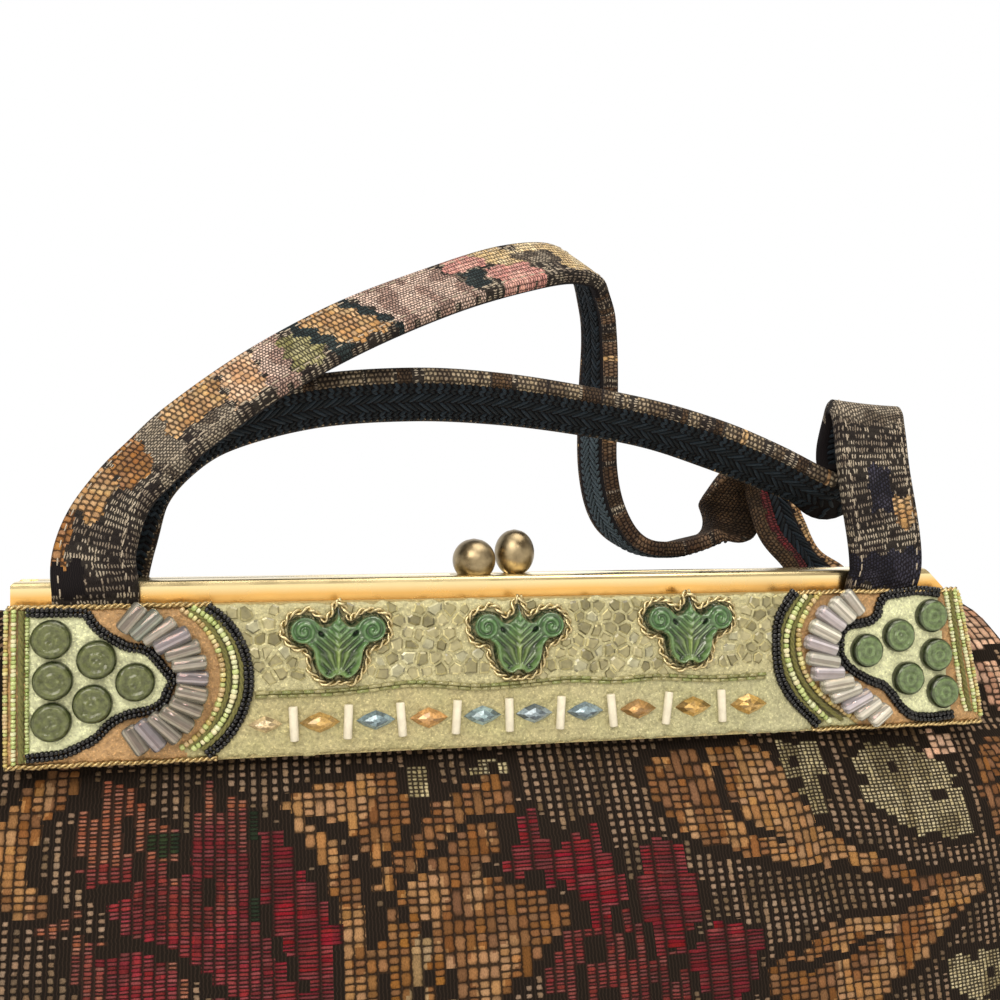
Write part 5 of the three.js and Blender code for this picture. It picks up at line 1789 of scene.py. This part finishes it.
@dataclass
class CarvedLeaf:
    """A leaf carved in green glass: two scrolls, a spike, a ribbed body and two lobes, in twisted wire."""

    node: str
    x: float
    drop: float
    step: float = 0.24
    scroll: tuple[float, float, float] = (8.2, 3.6, 3.7)  # place and radius of the right-hand scroll
    groove_shade: str = "182a1c"
    ridge: str = "547a4a"
    heart: str = "8c9d54"  # where light comes through its middle

    @staticmethod
    def outline(grow: float = 0.0) -> Array:
        """Finds the leaf's edge, from the spike round by the right.

        Args:
            grow: How far outside the edge to run, for the wire.

        Returns:
            Its corners about the leaf's middle.
        """
        half = [
            (0, 9.4), (0.9, 7.2), (2.2, 5.6), (3.4, 5.1), (4.6, 6.1), (6.2, 7.1), (8.3, 7.4), (10.4, 6.7),
            (11.8, 4.9), (11.9, 2.9), (10.9, 1.1), (9.2, 0.2), (7.6, -0.2), (6.5, -1.4), (6.2, -3.2),
            (5.6, -5.4), (4.4, -7.2), (2.6, -8.3), (1.2, -8.2), (0.4, -7.6),
        ]
        right = np.array(half, dtype=float)
        left = right[:0:-1] * [-1, 1]
        whole = np.vstack([right, left])
        ring = spline(np.vstack([whole, whole[:1]]), 160)[:-1]
        if grow:
            along = unit(np.roll(ring, -1, axis=0) - np.roll(ring, 1, axis=0))
            ring = ring + grow * np.stack([-along[:, 1], along[:, 0]], axis=1)
        return ring

    def height(self, flat: Array, deep: Array) -> Array:
        """Finds the carving: a rounded edge, scrolls with spiral grooves and a body ribbed from the foot.

        Args:
            flat: Places about the leaf's middle.
            deep: How far inside its edge they lie.

        Returns:
            The height at each place.
        """
        x, y = np.abs(flat[:, 0]), flat[:, 1]
        body = 1.1 + 1.7 * ease(deep / 1.1)
        scroll_x, scroll_y, radius = self.scroll
        away = np.hypot(x - scroll_x, y - scroll_y)
        turn = np.arctan2(y - scroll_y, x - scroll_x)
        scroll = np.clip(1 - (away / radius) ** 6, 0, 1)
        spiral = 0.45 * np.cos(2 * math.pi * away / 1.6 - turn + 1.2) + 0.5 * np.exp(-((away / 0.7) ** 2))
        fan = np.arctan2(x, y + 7.5)
        upper = ease((y + 3) / 3)
        fanned, slanted = np.cos(17 * fan), np.cos(2 * math.pi * (y - 0.9 * x) / 1.8)
        veins = (0.36 * (1 - upper) * fanned + 0.42 * upper * slanted) * ease((deep - 1.0) / 0.6)
        spine = 0.6 * np.exp(-((x / 0.55) ** 2)) * (1 - 0.6 * ease((y - 3) / 5))
        rim = 0.9 * np.exp(-(((deep - 0.95) / 0.5) ** 2)) * ease((3 - y) / 3)
        bowl = -0.5 * ease((deep - 1.5) / 0.7) * ease((3 - y) / 4)
        pits = 1.3 * np.exp(-((x - 4.1) ** 2 + (y - 2.9) ** 2) / 0.7)
        pits += np.exp(-((x - 2.6) ** 2 + (y + 6.6) ** 2) / 0.35)
        carved = scroll * spiral + (1 - scroll) * (veins + spine + rim + bowl - pits)
        return np.clip(body + carved * ease(deep / 0.7), 0.5, 4.0)

    def wire(self) -> None:
        """Lays the twisted gold wire round the leaf."""
        ring = self.outline(1.0)
        closed = np.vstack([ring, ring[:1]])
        closed = closed + [self.x, -self.drop]
        closed += 0.3 * np.stack([waves(closed, 1.6, 14), waves(closed, 1.6, 15)], axis=1)
        closed[-1] = closed[0]
        line = np.column_stack([closed, 0.85 + 0.25 * np.sin(np.arange(len(closed)) * 0.5)])
        piece = Piece(self.node + "_gold_wire")
        for strand in twisted(line, 0.4, 4.8, 2, 6, 1.25):
            piece.add((on_panel(strand[0]), strand[1]), "d6c79c")
        piece.build(GOLD_THREAD, "panel_paste")

    def build(self) -> None:
        """Carves the leaf and lays its wire."""
        points, faces = relief(self.outline(), self.step, self.height)
        centres = np.array([points[face].mean(axis=0) for face in faces])
        # painted shade: the lower the carving, the darker its tint, and the high ridges lighter
        share = ease((centres[:, 2] - 1.7) / 1.6)[:, None]
        tint = linear(self.groove_shade) * (1 - share) + linear(self.ridge) * share
        heart = np.exp(-((centres[:, 0] / 4.0) ** 2) - ((centres[:, 1] + 2.6) / 4.2) ** 2)[:, None] * share
        tint = tint * (1 - 0.8 * heart) + linear(self.heart) * 0.8 * heart
        piece = Piece(self.node + "_carved")
        piece.add((on_panel(laid(points, (self.x, -self.drop, SEATED))), faces), tint)
        piece.build(LEAF_GLASS, "leaf_glass", self.node)
        self.wire()


@dataclass
class StoneRow:
    """The row of lozenge crystals and pearl bugles along the panel's foot."""

    drop: float = 28.6
    blue: tuple[int, ...] = (3, 5, 6, 7)  # which crystals are blue
    bugle_size: Pair = (4.1, 1.08)  # half its length, and its radius
    # Place across and tilt
    bugles: Line = (
        (-55.8, 0.05), (-42.9, -0.03), (-30, 0.08), (-16.4, -0.06), (-3.1, 0.02), (10.1, -0.05), (23.6, 0.1),
        (38.4, -0.12), (53.3, 0.04),
    )
    # Place across, length, height and tint
    crystals: tuple[tuple[float, float, float, str], ...] = (
        (-62.4, 7.4, 3.6, "d2bd96"), (-49.6, 9, 4.4, "bd9b5e"), (-36.2, 8.8, 4.2, "8197a2"),
        (-23.2, 8.8, 4.5, "bb905c"), (-9.8, 8.8, 4.3, "8ba2aa"), (3.4, 8.8, 4.3, "8c9ca8"),
        (16.6, 8.9, 4.3, "8296a2"), (30.7, 9, 4.5, "b88f58"), (45.6, 9.2, 4.6, "b89554"),
        (61, 9.6, 4.8, "b89554"),
    )

    def set_crystals(self) -> None:
        """Sets the lozenges, each with a girdle, a crown of facets and a narrow table."""
        side = 0.56  # how far out the middles of a lozenge's sides are
        corners = np.array([(1, 0), (side, side), (0, 1), (-side, side)])
        shape = np.vstack([corners, -corners])
        levels = ((0.85, 0.0), (1.0, 0.55), (0.62, 1.75), (0.22, 2.3))
        count, last = len(shape), (len(levels) - 1) * len(shape)
        faces = grid_faces(len(levels), count, wrap_columns=True).tolist()
        faces += [list(range(count))[::-1], list(range(last, last + count))]
        for number, (x, length, height, tint) in enumerate(self.crystals, 1):
            ring = shape * [0.54 * length, 0.57 * height]
            points = np.vstack([np.column_stack([scale * ring, np.full(count, z)]) for scale, z in levels])
            # painted glints and painted shade: each facet gets its own brightness
            glints = np.random.default_rng(number).uniform(0.45, 1.5, (len(faces), 1))
            piece = Piece(f"crystal_{number}_cut")
            solid = (on_panel(laid(points, (x, -self.drop, SEATED))), faces)
            piece.add(solid, linear(tint) * glints)
            slot = "blue_crystal" if number in self.blue else "amber_crystal"
            piece.build(CUT_GLASS, slot, f"crystal_{number}", smooth=False)

    def set_bugles(self) -> None:
        """Sets the pearl bugles, each a rod with a small bevel at its ends."""
        half, r = self.bugle_size
        foot = [(wide * r, back - half) for wide, back in ((0.45, 0), (0.9, 0), (1, 0.2))]
        rod = turned(foot + [(wide, -high) for wide, high in foot[::-1]], 18)
        for number, (x, tilt) in enumerate(self.bugles, 1):
            points = laid(rod[0], (x, -self.drop, SEATED + r), tilt, math.pi / 2)
            piece = Piece(f"bugle_{number}_pearl")
            piece.add((on_panel(points), rod[1]), "e6dfcb")
            piece.build(PEARL_GLASS, "white_glass", f"bugle_{number}")

    def build(self) -> None:
        """Sets the whole row."""
        self.set_crystals()
        self.set_bugles()


@dataclass
class KissLock:
    """The gilt frame's rails and hinges, and the two plated balls that snap past each other."""

    # CAD node, middle, radius and how much taller than wide it is
    balls: tuple[tuple[str, float, float, float, float, float], ...] = (
        ("clasp_ball_front", -9.6, -1.6, 213.6, 5.5, 1.0),
        ("clasp_ball_back", 1.8, 1.6, 215.2, 5.2, 1.17),
    )

    def build(self) -> None:
        """Gilds the frame and turns the balls."""
        for node in ("frame_front", "frame_back", "hinge_pin_left", "hinge_pin_right"):
            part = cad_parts[node]
            part.data.materials.clear()
            part.data.materials.append(GILT.material())
        for node, x, y, z, radius, stretch in self.balls:
            rise = np.linspace(-0.98, 0.999, 30)
            profile = [(radius * math.sqrt(1 - h * h), radius * stretch * h) for h in rise]
            points, faces = turned(profile, 44)
            piece = Piece(node + "_turned")
            piece.add((points + [x, y, z], faces), "b9ad9c")
            piece.build(CLASP, "clasp_metal", node)


@dataclass
class PanelBacking:
    """The stiff panels behind the paste and across the back."""

    panels: tuple[tuple[str, str, Finish], ...] = (
        ("front_panel", "a89a6c", BEAD_PASTE), ("back_panel", "35271f", BACKING_CLOTH),
    )

    def build(self) -> None:
        """Gives both panels their finish and their tint."""
        for node, tint, finish in self.panels:
            dress(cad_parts[node].data, finish, linear(tint))


@dataclass
class Studio:
    """The white studio: floor, light and the photographer's camera."""

    place: tuple[float, float, float] = (-72.7, -302.1, 230.5)
    heading: float = -13.1
    lens: float = 43.2
    sensor: float = 36.0
    shift: float = -0.006
    paper: float = 480.0  # radius of the paper on the floor
    # Name, place in metres, size in metres and power in watts of each soft box
    boxes: tuple[tuple[str, tuple[float, float, float], float, float], ...] = (
        ("key", (-0.45, -0.8, 0.85), 0.6, 7.3), ("top", (0.25, -0.15, 1.1), 0.7, 6.0),
        ("lamp", (0.1, -0.75, 0.6), 0.08, 0.7),
    )
    target: tuple[float, float, float] = (0.0, 0.0, 0.2)  # what the boxes point at, in metres
    warmth: tuple[float, float, float] = (1.0, 0.94, 0.84)

    def floor(self) -> None:
        """Lays a round of pale paper under the bag."""
        sides = 64
        turn = np.linspace(0, 2 * math.pi, sides, endpoint=False)
        points = np.stack([self.paper * np.cos(turn), self.paper * np.sin(turn), 0 * turn], axis=1)
        mesh = bpy.data.meshes.new("studio_floor")
        mesh.from_pydata((points * MM).tolist(), [], [list(range(sides))])
        dress(mesh, STUDIO_PAPER, linear("f4f3f0"))
        put_in_scene("studio_floor", mesh)

    def room(self) -> None:
        """Paints a white wall behind the bag and a warm room with a low bright window in front."""
        world = bpy.data.worlds.new("white_studio")
        bpy.context.scene.world = world
        world.use_nodes = True
        tree = world.node_tree
        node = partial(add_node, tree)
        way = node("SeparateXYZ", (node("TexCoord").outputs["Generated"],))
        height = way.outputs["Z"]
        behind, top, foot = (
            node("MapRange", limits, interpolation_type="SMOOTHSTEP")
            for limits in ((way.outputs["Y"], 0.15, 0.7), (height, 0.12, 0.02), (height, -0.4, -0.25))
        )
        window = node("Math:MULTIPLY", (top, foot))
        tones = {0: window, 6: (0.38, 0.345, 0.295, 1), 7: (1.25, 1.17, 1.0, 1)}
        lit = node("Mix", tones, data_type="RGBA").outputs[2]
        walls = node("Mix", {0: behind, 6: lit, 7: (1, 1, 1, 1)}, data_type="RGBA").outputs[2]
        tree.links.new(walls, tree.nodes["Background"].inputs["Color"])

    def lights(self) -> None:
        """Hangs the soft boxes."""
        for name, spot, size, power in self.boxes:
            data = bpy.data.lights.new(name, "AREA")
            data.size = size
            data.energy = power
            data.color = self.warmth
            lamp = put_in_scene(name, data)
            lamp.location = spot
            x, y, z = np.array(self.target) - np.array(spot)
            lamp.rotation_euler = (math.atan2(math.hypot(x, y), -z), 0, math.atan2(y, x) - math.pi / 2)

    def camera(self) -> None:
        """Sets up the camera of the photograph."""
        data = bpy.data.cameras.new("photo_camera")
        data.lens = self.lens
        data.sensor_width = self.sensor
        data.shift_y = self.shift
        data.clip_start = 0.01
        made = put_in_scene("photo_camera", data)
        made.location = [value * MM for value in self.place]
        made.rotation_euler = (math.pi / 2, 0, math.radians(self.heading))
        bpy.context.scene.camera = made
        bpy.context.scene.view_settings.view_transform = "Standard"

    def build(self) -> None:
        """Sets up the studio."""
        self.floor()
        self.room()
        self.lights()
        self.camera()


LEFT_DISCS: Line = (
    (-110.2, 7.1), (-109.9, 16.5), (-110.2, 25.9), (-100.4, 12), (-101.3, 22.1), (-91.9, 17.4),
)
RIGHT_DISCS: Line = ((113.8, 6.8), (115.3, 17.3), (117.3, 27.3), (104, 11.8), (106.9, 23.4), (94.6, 15.6))
DISC_GROUPS = (("left", LEFT_DISCS, "5c633b", 1.0), ("right", RIGHT_DISCS, "64784f", 1.6))
PALE_SHADES = ("dcdbd3", "cfcec8", "e6e5dc", "ccd8d0", "d3cfda", "d2cfc4", "dedbd0")


def main() -> None:
    """Builds the bag's sub-assemblies in order and reports each of them."""
    logging.basicConfig(level=logging.INFO, format="%(message)s")
    upper = StrapHandle(
        "handle_upper", UPPER_ROUTE, UPPER_PATCHES, StrapYarn.DASH, StrapYarn.NAVY, (24, 356), edging=2,
        painted_light_span=(222, 272), rim=(190, 318), rim_yarn=StrapYarn.HUSK, stitched=200, narrow=312,
    )
    lower = StrapHandle(
        "handle_lower", LOWER_ROUTE, LOWER_PATCHES, StrapYarn.DASH, StrapYarn.NAVY, (22, 270), width=20.6
    )
    fans = (
        BugleFan("bugle_fan_left", *LEFT_FAN, 13, 1.95, 1.0, 31),
        BugleFan("bugle_fan_right", *RIGHT_FAN, 12, 2.1, 1.55, 32, PALE_SHADES),
    )
    discs = [
        PressedDisc(f"disc_{side}_{number}", x, drop, pale, painted_ring_contrast)
        for side, places, pale, painted_ring_contrast in DISC_GROUPS
        for number, (x, drop) in enumerate(places, 1)
    ]
    leaves = [CarvedLeaf(*place) for place in ORNAMENT_PLACES]
    order = (
        Studio(), TapestryBody(), upper, lower, PanelBacking(), PastePanel(), GlassMosaic(), BeadWork(),
        *fans, *discs, *leaves, StoneRow(), KissLock(),
    )
    for part in order:
        part.build()
        LOG.info("built: %s", type(part).__name__)


if __name__ == "__main__":
    main()
